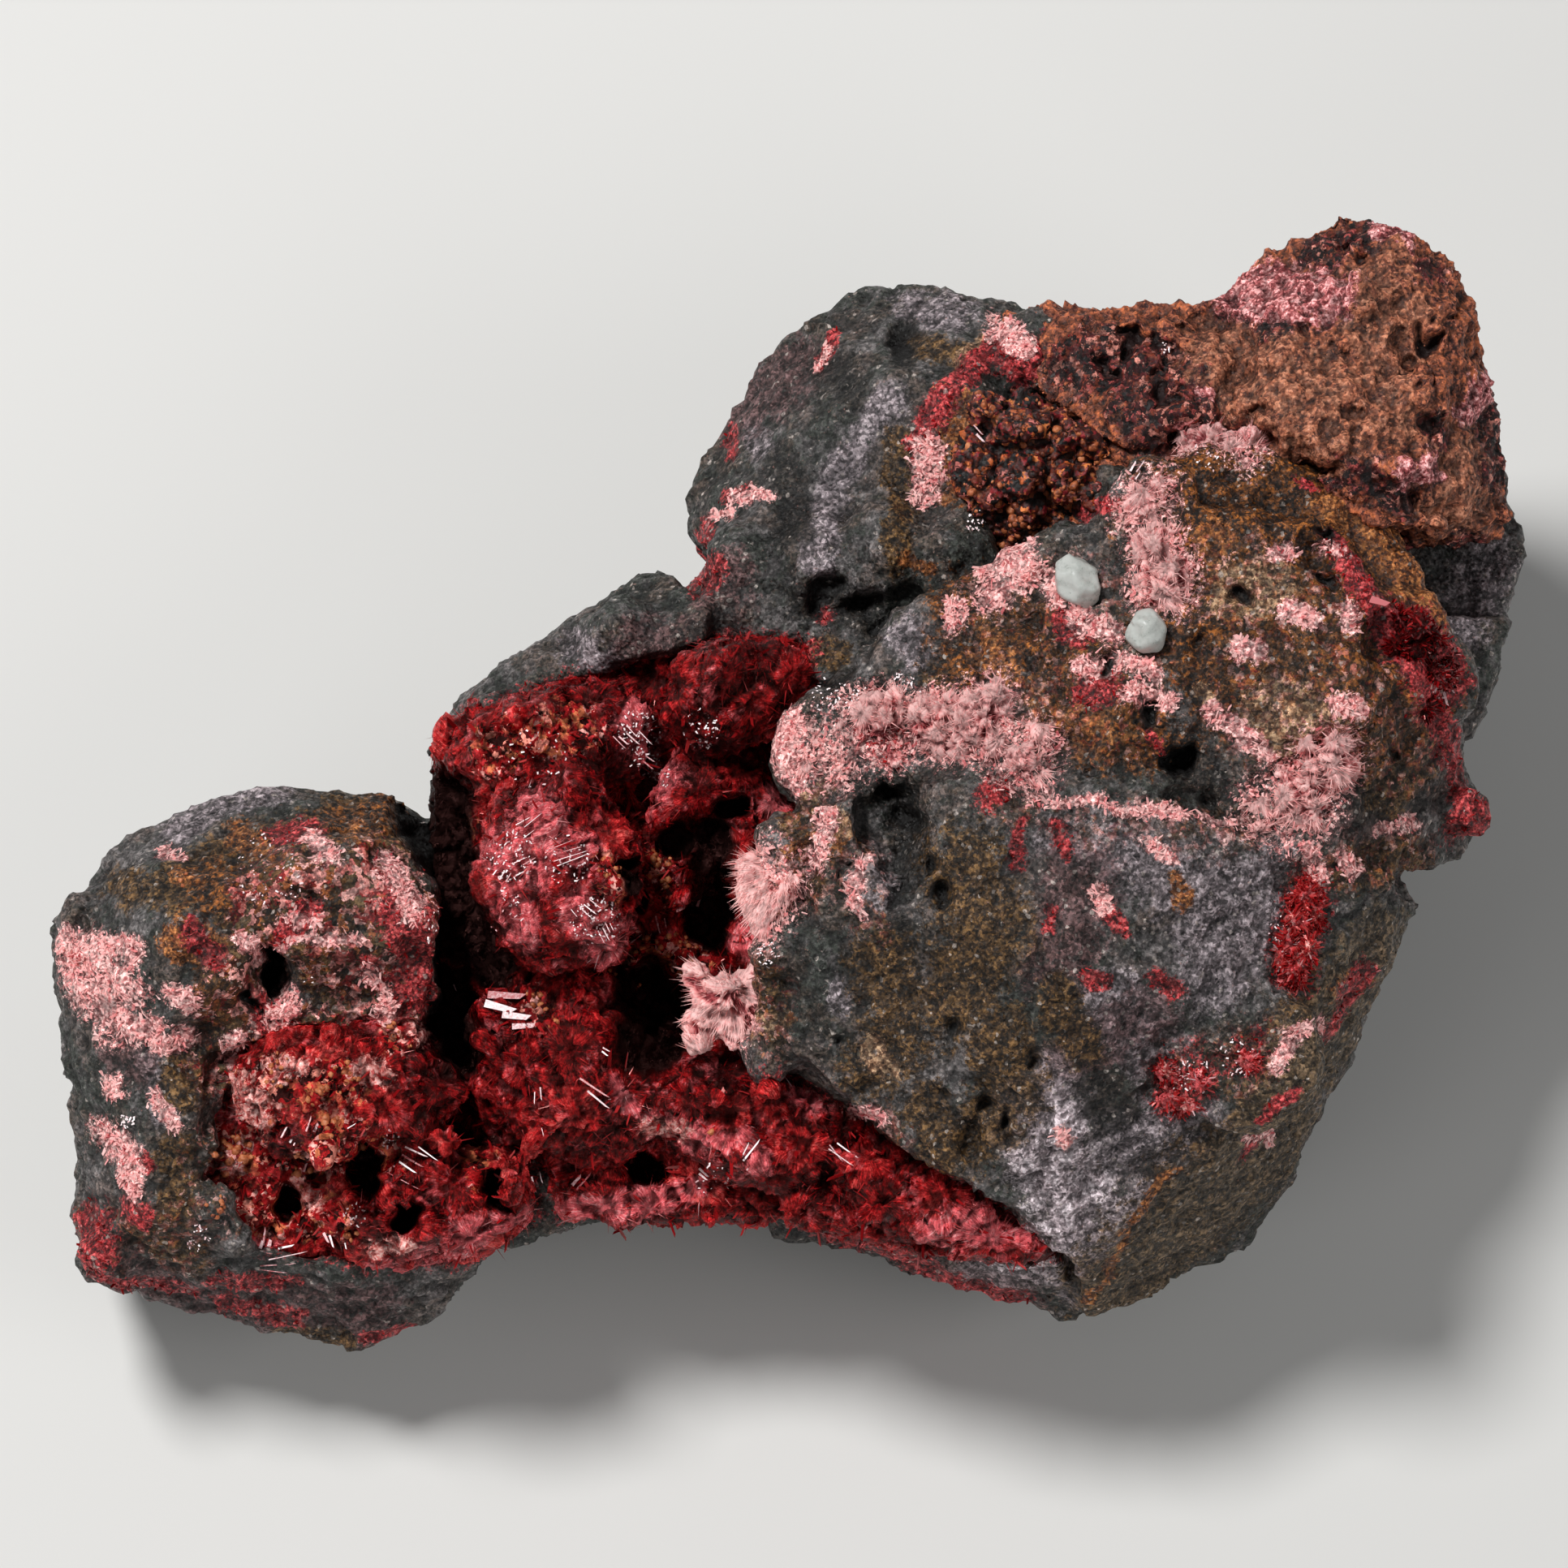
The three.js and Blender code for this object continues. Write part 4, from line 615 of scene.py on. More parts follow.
def keep(mesh, name, values):
    """Stores one number, or one row of three, for each point of the mesh, for its material to read."""
    values = np.asarray(values, np.float32)
    kind, key = ("FLOAT", "value") if values.ndim == 1 else ("FLOAT_VECTOR", "vector")
    layer = mesh.attributes.get(name) or mesh.attributes.new(name, kind, "POINT")
    layer.data.foreach_set(key, values.ravel())


def tree_of(names):
    """A search tree over the solids' faces."""
    form = solid_copy(names)
    tree = BVHTree.FromBMesh(form)
    form.free()
    return tree


WHOLE = tree_of(list(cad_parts))
ROCK = tree_of(["host_rock"])


def seen(places):
    """Where points show on the show side: rows of across, up and depth in millimetres."""
    away = (places - np.array(VIEWPOINT)) / MM
    far = -away @ np.array(EYE)
    scale = (VIEW_DISTANCE - RIM_DEPTH) / far
    across, up = away @ np.array(ACROSS) * scale, away @ np.array(UP) * scale
    return np.stack([across, up, VIEW_DISTANCE - far], axis=1)


def place_at(across, up, out):
    """The point at a place of the show side and a depth."""
    spread = (VIEW_DISTANCE - out) / (VIEW_DISTANCE - RIM_DEPTH)
    return SHOW_MIDDLE + ((ACROSS * across + UP * up) * spread + EYE * out) * MM


def on_surface(across, up, tree=WHOLE):
    """The point of the solids seen at a place of the show side, with its normal."""
    aim = place_at(across, up, RIM_DEPTH) - VIEWPOINT
    point, normal, _, _ = tree.ray_cast(VIEWPOINT, aim.normalized())
    return point, normal


def depth_of(point):
    """How far out towards the eye a point lies, in millimetres."""
    return (point - SHOW_MIDDLE).dot(EYE) / MM


def wandered(places, throw=1.0):
    """Where points show on the show side, shifted to and fro so that marks laid there get uneven edges."""
    shown = seen(places)
    for size, shift in WANDER:
        scaled = (places / (size * MM)).tolist()
        shown += np.array([noise.noise_vector(p) for p in scaled]) * shift * throw
    return shown


def mark_points(marks, tree):
    """The marks' paths as rows of across, up, depth and radius, a short step apart."""
    found = []
    for radius, *line in marks:
        path = list(zip(line[::2], line[1::2]))
        for start, end in zip(path, path[1:] or path):
            steps = max(1, math.ceil(math.dist(start, end) / (0.6 * radius)))
            for step in range(steps + 1):
                across = start[0] + (end[0] - start[0]) * step / steps
                up = start[1] + (end[1] - start[1]) * step / steps
                point, _ = on_surface(across, up, tree)
                if point:
                    found.append((across, up, depth_of(point), radius))
    return found


def reach(shown, marks, tree=WHOLE, by_depth=MARK_DEPTH):
    """How far each point lies in the marks: 1 well inside, 0.5 at their radius, 0 outside."""
    weight = np.zeros(len(shown))
    for across, up, deep, radius in mark_points(marks, tree):
        near = np.nonzero(np.abs(shown[:, 0] - across) < 1.5 * radius)[0]
        apart = (shown[near] - (across, up, deep)) * (1, 1, by_depth)
        share = np.clip(1.5 - np.linalg.norm(apart, axis=1) / radius, 0, 1)
        weight[near] = np.maximum(weight[near], share)
    return weight


def nearness(places, names, widest):
    """How near each point lies to some solids: 1 touching them, 0 at so many millimetres or more."""
    tree = tree_of(names)
    found = [tree.find_nearest(place, widest * MM)[3] for place in places.tolist()]
    return np.array([0 if away is None else 1 - away / (widest * MM) for away in found])


def sunk(places, shown, pits, tree=WHOLE):
    """The points sunk into round pits, away from the eye, and how deep each lies in one."""
    depth = np.zeros(len(places))
    for across, up, deep, radius in pits:
        point, _ = on_surface(across, up, tree)
        if point is None:
            continue
        apart = (shown - (across, up, depth_of(point))) * (1, 1, MARK_DEPTH)
        share = np.clip(1.25 - np.linalg.norm(apart, axis=1) / (radius * 1.5), 0, 1)
        np.maximum(depth, share * share * (3 - 2 * share) * deep, out=depth)
    return outwards(places, -depth), depth


def outwards(places, amounts):
    """The points moved towards the eye by so many millimetres each."""
    return places + np.array(EYE) * amounts[:, None] * MM


def lumps(places, size, seed, octaves=3):
    """Smooth noise at each point, about -1 to 1, for lumps of a size in millimetres."""
    shift = Vector((seed * 17.3, seed * 5.1, seed * 9.7))
    scaled = (places / (size * MM)).tolist()
    return np.array([noise.fractal(Vector(p) + shift, 0.7, 2.1, octaves) for p in scaled])


def chips(places, size, seed):
    """Broken facets at each point, about -1 to 1: each cell of the size has its own slope."""
    shift = Vector((seed * 11.9, seed * 3.7, seed * 7.3))
    heights = []
    for p in (places / (size * MM)).tolist():
        at = Vector(p) + shift
        centre = noise.voronoi(at)[1][0]
        slope = noise.cell_vector(centre * 7.31)
        heights.append((at - centre).dot(slope * 2 - Vector((1, 1, 1))))
    return np.array(heights)


def hollows(mesh, rounds):
    """How far each point lies below its surroundings, in millimetres: more rounds, wider surroundings."""
    places, facing = places_of(mesh), facing_of(mesh)
    ends = np.empty(len(mesh.edges) * 2, np.int32)
    mesh.edges.foreach_get("vertices", ends)
    one, two = ends.reshape(-1, 2).T
    joined = np.bincount(one, minlength=len(places)) + np.bincount(two, minlength=len(places))
    mean = places.copy()
    for _ in range(rounds):
        summed = np.empty_like(mean)
        for axis in range(3):
            line = mean[:, axis]
            summed[:, axis] = np.bincount(one, line[two], len(line))
            summed[:, axis] += np.bincount(two, line[one], len(line))
        mean = (mean + summed / np.maximum(joined, 1)[:, None]) / 2
    return ((mean - places) * facing).sum(axis=1) / MM


def keep_hollows(mesh, near=0.05, wide=0.16):
    """Keeps how hollow each point is, about -1 on a ridge to 1 in a pit; the finishes use it to paint shade
    into the hollows and light onto the ridges.
    """
    small, broad = np.clip(hollows(mesh, 6) / near, -1, 1), np.clip(hollows(mesh, 36) / wide, -1, 1)
    keep(mesh, "hollow", (small + broad) / 2)


def close_seams(mesh, others):
    """Draws the piece's points towards its neighbours where only a narrow gap parts them."""
    tree = tree_of(others)
    places = places_of(mesh)
    for index, place in enumerate(places.tolist()):
        near, _, _, away = tree.find_nearest(place, SEAM_WIDEST * MM)
        if near is not None and away > 1e-7:
            share = min(SEAM_SHARE, SEAM_DRAW * MM / away)
            share *= 1 - max(0, away / MM - SEAM_FULL) / (SEAM_WIDEST - SEAM_FULL)
            places[index] = Vector(place).lerp(near, share)
    move_points(mesh, places)


def soften(piece, times):
    """Rounds the edges of a mesh."""
    form = bmesh.new()
    form.from_mesh(piece.data)
    for _ in range(times):
        bmesh.ops.smooth_vert(
            form, verts=form.verts, factor=0.5, use_axis_x=True, use_axis_y=True, use_axis_z=True
        )
    form.to_mesh(piece.data)
    form.free()


def thin(piece, most_faces, weights):
    """Leaves at most so many triangles on a piece, more where its weights are high."""
    triangles = sum(len(face.vertices) - 2 for face in piece.data.polygons)
    if triangles <= most_faces:
        return
    group = piece.vertex_groups.new(name="seen")
    levels = np.round(weights * 4).astype(int)
    for level in range(5):
        group.add(np.nonzero(levels == level)[0].tolist(), level / 4, "REPLACE")
    fewer = piece.modifiers.new("fewer faces", "DECIMATE")
    fewer.ratio = most_faces / triangles
    fewer.vertex_group = "seen"
    fewer.invert_vertex_group = True
    fewer.vertex_group_factor = 1.0
    evaluated(piece)
    piece.vertex_groups.clear()


def finish_piece(piece, solids, material, smooth=True):
    """Puts a finished piece in the frame: what it stands for, its finish and its body."""
    piece.data.materials.clear()
    piece.data.materials.append(material)
    piece.data.polygons.foreach_set("use_smooth", [smooth] * len(piece.data.polygons))
    piece.data.update()
    if solids:
        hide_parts(*solids)
    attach(piece, "root")


def kept_shape(form, name):
    """Turns a small bmesh into a mesh of triangles."""
    bmesh.ops.recalc_face_normals(form, faces=form.faces)
    bmesh.ops.triangulate(form, faces=form.faces)
    mesh = bpy.data.meshes.new(name)
    form.to_mesh(mesh)
    form.free()
    return mesh


def lath_shape():
    """A flat crystal one unit long, wide and thick, with a slanted end."""
    form = bmesh.new()
    bmesh.ops.create_cube(form, size=1)
    bmesh.ops.translate(form, vec=(0, 0, 0.5), verts=form.verts)
    tips = [vert for vert in form.verts if vert.co.z > 0.5]
    bmesh.ops.scale(form, vec=(0.7, 0.6, 1), verts=tips)
    bmesh.ops.translate(form, vec=(0, 0, -0.16), verts=[vert for vert in tips if vert.co.x > 0])
    return kept_shape(form, "lath")


def sliver_shape():
    """A thin three-sided crystal that ends in a point."""
    form = bmesh.new()
    bmesh.ops.create_cone(form, cap_ends=True, segments=3, radius1=0.55, radius2=0, depth=1)
    bmesh.ops.translate(form, vec=(0, 0, 0.5), verts=form.verts)
    bmesh.ops.remove_doubles(form, verts=form.verts, dist=0.01)
    return kept_shape(form, "sliver")


def grain_shape(seed, detail=1, uneven=0.34):
    """A rounded, uneven grain one unit across."""
    form = bmesh.new()
    bmesh.ops.create_icosphere(form, subdivisions=detail, radius=0.5)
    for vert in form.verts:
        vert.co *= 1 + uneven * noise.noise(vert.co * 3.1 + Vector((seed * 4.7, 0, 0)))
    return kept_shape(form, "grain")


def standing_tree(shape):
    """The nodes that put a copy of a shape at each point, turned and sized by the point's own values."""
    tree = bpy.data.node_groups.new("stands", "GeometryNodeTree")
    for way in ("INPUT", "OUTPUT"):
        tree.interface.new_socket("Geometry", in_out=way, socket_type="NodeSocketGeometry")
    made = {kind: tree.nodes.new(kind) for kind in (
        "NodeGroupInput", "NodeGroupOutput", "GeometryNodeObjectInfo", "GeometryNodeInstanceOnPoints",
        "FunctionNodeEulerToRotation", "GeometryNodeRealizeInstances",
    )}
    stand = made["GeometryNodeInstanceOnPoints"]
    made["GeometryNodeObjectInfo"].inputs["Object"].default_value = shape
    values = {}
    for name in ("turn", "size"):
        values[name] = tree.nodes.new("GeometryNodeInputNamedAttribute")
        values[name].data_type = "FLOAT_VECTOR"
        values[name].inputs["Name"].default_value = name
    join = tree.links.new
    join(made["NodeGroupInput"].outputs[0], stand.inputs["Points"])
    join(made["GeometryNodeObjectInfo"].outputs["Geometry"], stand.inputs["Instance"])
    join(values["turn"].outputs["Attribute"], made["FunctionNodeEulerToRotation"].inputs[0])
    join(made["FunctionNodeEulerToRotation"].outputs[0], stand.inputs["Rotation"])
    join(values["size"].outputs["Attribute"], stand.inputs["Scale"])
    join(stand.outputs[0], made["GeometryNodeRealizeInstances"].inputs[0])
    join(made["GeometryNodeRealizeInstances"].outputs[0], made["NodeGroupOutput"].inputs[0])
    return tree


class Growth:
    """Small crystals that are gathered and then joined in one mesh."""

    def __init__(self, seed):
        self.random = np.random.default_rng(seed)
        self.stands = []

    def jitter(self, amount):
        """A random direction times an amount."""
        return Vector(self.random.normal(size=3)) * amount

    def sizes(self, narrow, wide, thin, short, long):
        """A crystal's random width, its thickness as a share of that, and its random length."""
        width = self.random.uniform(narrow, wide)
        return (width, width * thin, self.random.uniform(short, long))

    def add(self, root, along, flat, sizes, tint):
        """Stands a crystal on its root, pointing along, with its flat side to flat.
        The sizes are its width, thickness and length in millimetres."""
        along = Vector(along).normalized()
        side = along.cross(Vector(flat))
        if side.length < 1e-6:
            side = along.orthogonal()
        side.normalize()
        turn = Matrix((side, along.cross(side), along)).transposed().to_euler()
        self.stands.append((*root, *turn, *(size * MM for size in sizes), min(1, max(0, tint))))

    def joined(self, name, shapes):
        """One object with a copy of a shape at each stand, and each copy's tint kept on its points."""
        form = bmesh.new()
        tints = []
        for index, shape in enumerate(shapes):
            rows = np.array(self.stands[index::len(shapes)])
            stencil = bpy.data.objects.new("stencil", shape)
            mesh = bpy.data.meshes.new(name)
            mesh.vertices.add(len(rows))
            mesh.vertices.foreach_set("co", rows[:, :3].ravel())
            keep(mesh, "turn", rows[:, 3:6])
            keep(mesh, "size", rows[:, 6:9])
            copies = linked(mesh, name)
            copies.modifiers.new("stands", "NODES").node_group = standing_tree(stencil)
            evaluated(copies)
            form.from_mesh(copies.data)
            tints.append(np.repeat(rows[:, 9], len(shape.vertices)))
            bpy.data.objects.remove(copies)
            bpy.data.objects.remove(stencil)
        mesh = bpy.data.meshes.new(name)
        form.to_mesh(mesh)
        form.free()
        for layer in ("turn", "size"):
            if layer in mesh.attributes:
                mesh.attributes.remove(mesh.attributes[layer])
        keep(mesh, "tint", np.concatenate(tints))
        return linked(mesh, name)

    def finished(self, name, shapes, material, smooth=False):
        """Joins the crystals in a finished piece."""
        finish_piece(self.joined(name, shapes), [], material, smooth)


class Ground:
    """A surface on which small crystals are sown."""

    def __init__(self, mesh, seed):
        self.random = np.random.default_rng(seed)
        self.places = places_of(mesh)
        mesh.calc_loop_triangles()
        corners = np.empty(len(mesh.loop_triangles) * 3, np.int32)
        mesh.loop_triangles.foreach_get("vertices", corners)
        self.corners = corners.reshape(-1, 3)
        a, b, c = (self.places[self.corners[:, k]] for k in range(3))
        cross = np.cross(b - a, c - a)
        self.areas = np.linalg.norm(cross, axis=1) / 2
        self.facing = cross / (2 * self.areas[:, None] + 1e-15)
        self.middles = (a + b + c) / 3

    def averaged(self, values):
        """The points' values as one for each triangle."""
        return np.asarray(values)[self.corners].mean(axis=1)

    def spots(self, number, share):
        """Random spots on the surface, as pairs of place and facing. The share weighs each triangle."""
        weight = self.areas * share
        chosen = self.random.choice(len(weight), number, p=weight / weight.sum())
        one, two = self.random.random((2, number, 1))
        flip = (one + two) > 1
        one, two = np.where(flip, 1 - one, one), np.where(flip, 1 - two, two)
        a, b, c = (self.places[self.corners[chosen, k]] for k in range(3))
        spots = a + (b - a) * one + (c - a) * two
        ways = self.facing[chosen].tolist()
        return [(Vector(spot), Vector(way)) for spot, way in zip(spots.tolist(), ways)]

    def spaced(self, number, share, apart):
        """Random spots that keep at least so many millimetres apart."""
        kept = []
        for spot, way in self.spots(number * 6, share):
            if all((spot - other).length > apart * MM for other, _ in kept):
                kept.append((spot, way))
            if len(kept) == number:
                break
        return kept

    def towards_show(self, least=0.05):
        """How much each triangle faces the show side."""
        return np.clip(self.facing @ np.array(EYE), least, 1)


class Rosettes:
    """Crystals that spread over a surface from a number of centres."""

    def __init__(self, centres, sunk_by=0.0):
        self.spots = np.array([spot - way * sunk_by * MM for spot, way in centres])
        sides = [way.orthogonal().normalized() for _, way in centres]
        self.sides = np.array(sides)
        self.others = np.array([way.cross(side) for (_, way), side in zip(centres, sides)])
        self.tree = KDTree(len(centres))
        for index, spot in enumerate(self.spots):
            self.tree.insert(spot, index)
        self.tree.balance()

    def around(self, places):
        """For each point: the place of its ray for streaky noise, how far it is from the seam with the next
        rosette, 0 at the seam to 1, and the number of its rosette."""
        found = [self.tree.find_n(place, 2) for place in places.tolist()]
        which = np.array([near[0][1] for near in found])
        out = np.array([near[0][2] for near in found]) / MM
        next_out = np.array([near[-1][2] for near in found]) / MM
        seam = np.clip((next_out - out) / 0.35, 0, 1) if len(self.spots) > 1 else np.ones(len(out))
        away = places - self.spots[which]
        x, y = (away * self.others[which]).sum(axis=1), (away * self.sides[which]).sum(axis=1)
        flat = np.maximum(np.hypot(x, y), 1e-9)
        ray = np.stack([x / flat * RAYS, y / flat * RAYS, out * 0.7 + which * 7.3], axis=1)
        return ray, seam, which

    def away(self, spot):
        """The way from the nearest centre to a spot."""
        return spot - self.tree.find(spot)[0]


def streaks_of(ray):
    """Streaky noise along the rays, about -1 to 1."""
    return np.array([noise.noise(p) for p in ray.tolist()]) * 1.6


class Finish:
    """Builds one procedural material with short calls."""

    def __init__(self, name):
        self.material = bpy.data.materials.new(name)
        self.material.use_nodes = True
        self.tree = self.material.node_tree
        self.tree.nodes.clear()
        self.output = self.tree.nodes.new("ShaderNodeOutputMaterial")
        self.shader = self.tree.nodes.new("ShaderNodeBsdfPrincipled")
        self.tree.links.new(self.shader.outputs[0], self.output.inputs["Surface"])
        self.at = self.tree.nodes.new("ShaderNodeTexCoord").outputs["Object"]

    def set(self, **values):
        """Sets or links the shader's sockets, named with underscores for spaces."""
        for key, value in values.items():
            self.join(value, self.shader.inputs[key.replace("_", " ")])

    def join(self, value, socket):
        """Links a socket, or sets its value."""
        if isinstance(value, bpy.types.NodeSocket):
            self.tree.links.new(value, socket)
        elif socket.type == "RGBA":
            socket.default_value = (*as_linear(value), 1)
        else:
            socket.default_value = value

    def node(self, kind, out, inputs, **options):
        """Adds a node, sets its options and inputs, and gives one of its outputs."""
        node = self.tree.nodes.new("ShaderNode" + kind)
        for key, value in options.items():
            setattr(node, key, value)
        for key, value in inputs.items():
            self.join(value, node.inputs[key])
        return node.outputs[out]

    def noise(self, millimetres, detail=4.0, rough=0.65):
        """Soft noise with features of a size, about 0.3 to 0.7."""
        return self.node("TexNoise", "Fac", {
            "Vector": self.at, "Scale": 1 / (millimetres * MM), "Detail": detail, "Roughness": rough,
        })

    def cells(self, millimetres, out="Distance", at=None):
        """Cells of a size: the distance from their middles, or a colour for each."""
        return self.node("TexVoronoi", out, {"Vector": at or self.at, "Scale": 1 / (millimetres * MM)})

    def cell_number(self, millimetres, at=None):
        """A random number for each cell of a size."""
        return self.node("SeparateColor", 0, {0: self.cells(millimetres, "Color", at)})

    def vector(self, operation, inputs):
        """Arithmetic on rows of three."""
        return self.node("VectorMath", "Vector", inputs, operation=operation)

    def math(self, operation, one, two=0.0):
        """Arithmetic on two numbers."""
        return self.node("Math", "Value", {0: one, 1: two}, operation=operation)

    def times(self, one, two):
        """The product of two numbers."""
        return self.math("MULTIPLY", one, two)

    def plus(self, one, two):
        """The sum of two numbers."""
        return self.math("ADD", one, two)

    def spread(self, value, strength):
        """Noise about 0.5 turned to numbers about 0."""
        return self.times(self.math("SUBTRACT", value, 0.5), strength)

    def between(self, value, low, high, to_low=0.0, to_high=1.0):
        """A smooth step of a value from low to high."""
        return self.node("MapRange", "Result", {
            "Value": value, "From Min": low, "From Max": high, "To Min": to_low, "To Max": to_high,
        }, interpolation_type="SMOOTHSTEP")

    def mix(self, share, one, two, blend="MIX"):
        """Mixes two colours."""
        node = self.tree.nodes.new("ShaderNodeMix")
        node.data_type = "RGBA"
        node.blend_type = blend
        self.join(share, node.inputs["Factor"])
        self.join(one, node.inputs[6])
        self.join(two, node.inputs[7])
        return node.outputs[2]

    def dim(self, tone, value, low, high, to_low, to_high):
        """A colour times a number that follows a value smoothly, as between gives it."""
        factor = self.between(value, low, high, to_low, to_high)
        grey = self.node("CombineColor", "Color", {0: factor, 1: factor, 2: factor})
        return self.mix(1.0, tone, grey, "MULTIPLY")

    def ramp(self, value, *stops, kind="LINEAR"):
        """A colour from a number, by stops of (position, colour)."""
        node = self.tree.nodes.new("ShaderNodeValToRGB")
        self.join(value, node.inputs["Fac"])
        node.color_ramp.interpolation = kind
        elements = node.color_ramp.elements
        for element, (position, tone) in zip(elements, (stops[0], stops[-1])):
            element.position, element.color = position, (*as_linear(tone), 1)
        for position, tone in stops[1:-1]:
            elements.new(position).color = (*as_linear(tone), 1)
        return node.outputs["Color"]

    def tones(self, millimetres, dark, middle, light, spread=0.12):
        """Mottling of a size from a dark over a middle to a light colour."""
        mottle = self.plus(self.noise(millimetres, 5, 0.75), self.times(self.grain, 0.14))
        return self.ramp(mottle, (0.57 - spread, dark), (0.57, middle), (0.57 + spread, light))

    def kept(self, name, out="Fac"):
        """A number or a row of three stored on the piece's points."""
        return self.node("Attribute", out, {}, attribute_name=name)

    def zone(self, name, millimetres=0.5, ragged=4.0, soft=0.12):
        """A mark's area with a ragged edge: 1 inside and 0 outside."""
        edge = self.spread(self.noise(millimetres, 6, 0.85), ragged)
        inside = self.between(self.plus(self.kept(name), edge), 0.5 - soft, 0.5 + soft)
        return self.times(inside, self.between(self.kept(name), 0.02, 0.2))

    def sugar(self, millimetres):
        """Prepares the sugary grain of this finish: a number for each tiny grain."""
        self.grain = self.cell_number(millimetres)
        return self.grain

    def flakes(self, millimetres, *tones):
        """Small uneven flakes that mix some colours, each given with the share at which it starts."""
        inputs = {"Vector": self.at, "Scale": 2 / (millimetres * MM), "Detail": 3}
        throw = self.vector("SCALE", {
            0: self.node("TexNoise", "Color", inputs), "Scale": millimetres * 1.3 * MM,
        })
        pick = self.cell_number(millimetres, self.vector("ADD", {0: self.at, 1: throw}))
        pick = self.plus(pick, self.spread(self.noise(1.6, 4, 0.6), 1.1))
        return self.ramp(pick, *tones, kind="CONSTANT")

    def relief(self, millimetres, strength=1.0):
        """The normal of a rough surface."""
        height = self.plus(self.times(self.noise(0.4, 6, 0.75), 0.7), self.times(self.cells(0.24), 0.4))
        return self.bump(height, millimetres, strength=strength)

    def facets(self, millimetres, tilt, under):
        """Turns the normal a little in each small cell, as tiny crystal faces do."""
        turn = self.vector("SUBTRACT", {0: self.cells(millimetres, "Color"), 1: (0.5, 0.5, 0.5)})
        turn = self.vector("SCALE", {0: turn, "Scale": tilt})
        return self.vector("NORMALIZE", {0: self.vector("ADD", {0: under, 1: turn})})

    def rays(self, fineness, detail=3.0):
        """Fine streaks along the rays kept on the piece, about 0.3 to 0.7."""
        return self.node("TexNoise", "Fac", {
            "Vector": self.kept("ray", "Vector"), "Scale": fineness, "Detail": detail, "Roughness": 0.7,
        })

    def bump(self, height, millimetres, under=None, strength=1.0):
        """The normal of a surface with a height of its own."""
        inputs = {"Height": height, "Distance": millimetres * MM, "Strength": strength}
        if under:
            inputs["Normal"] = under
        return self.node("Bump", "Normal", inputs)


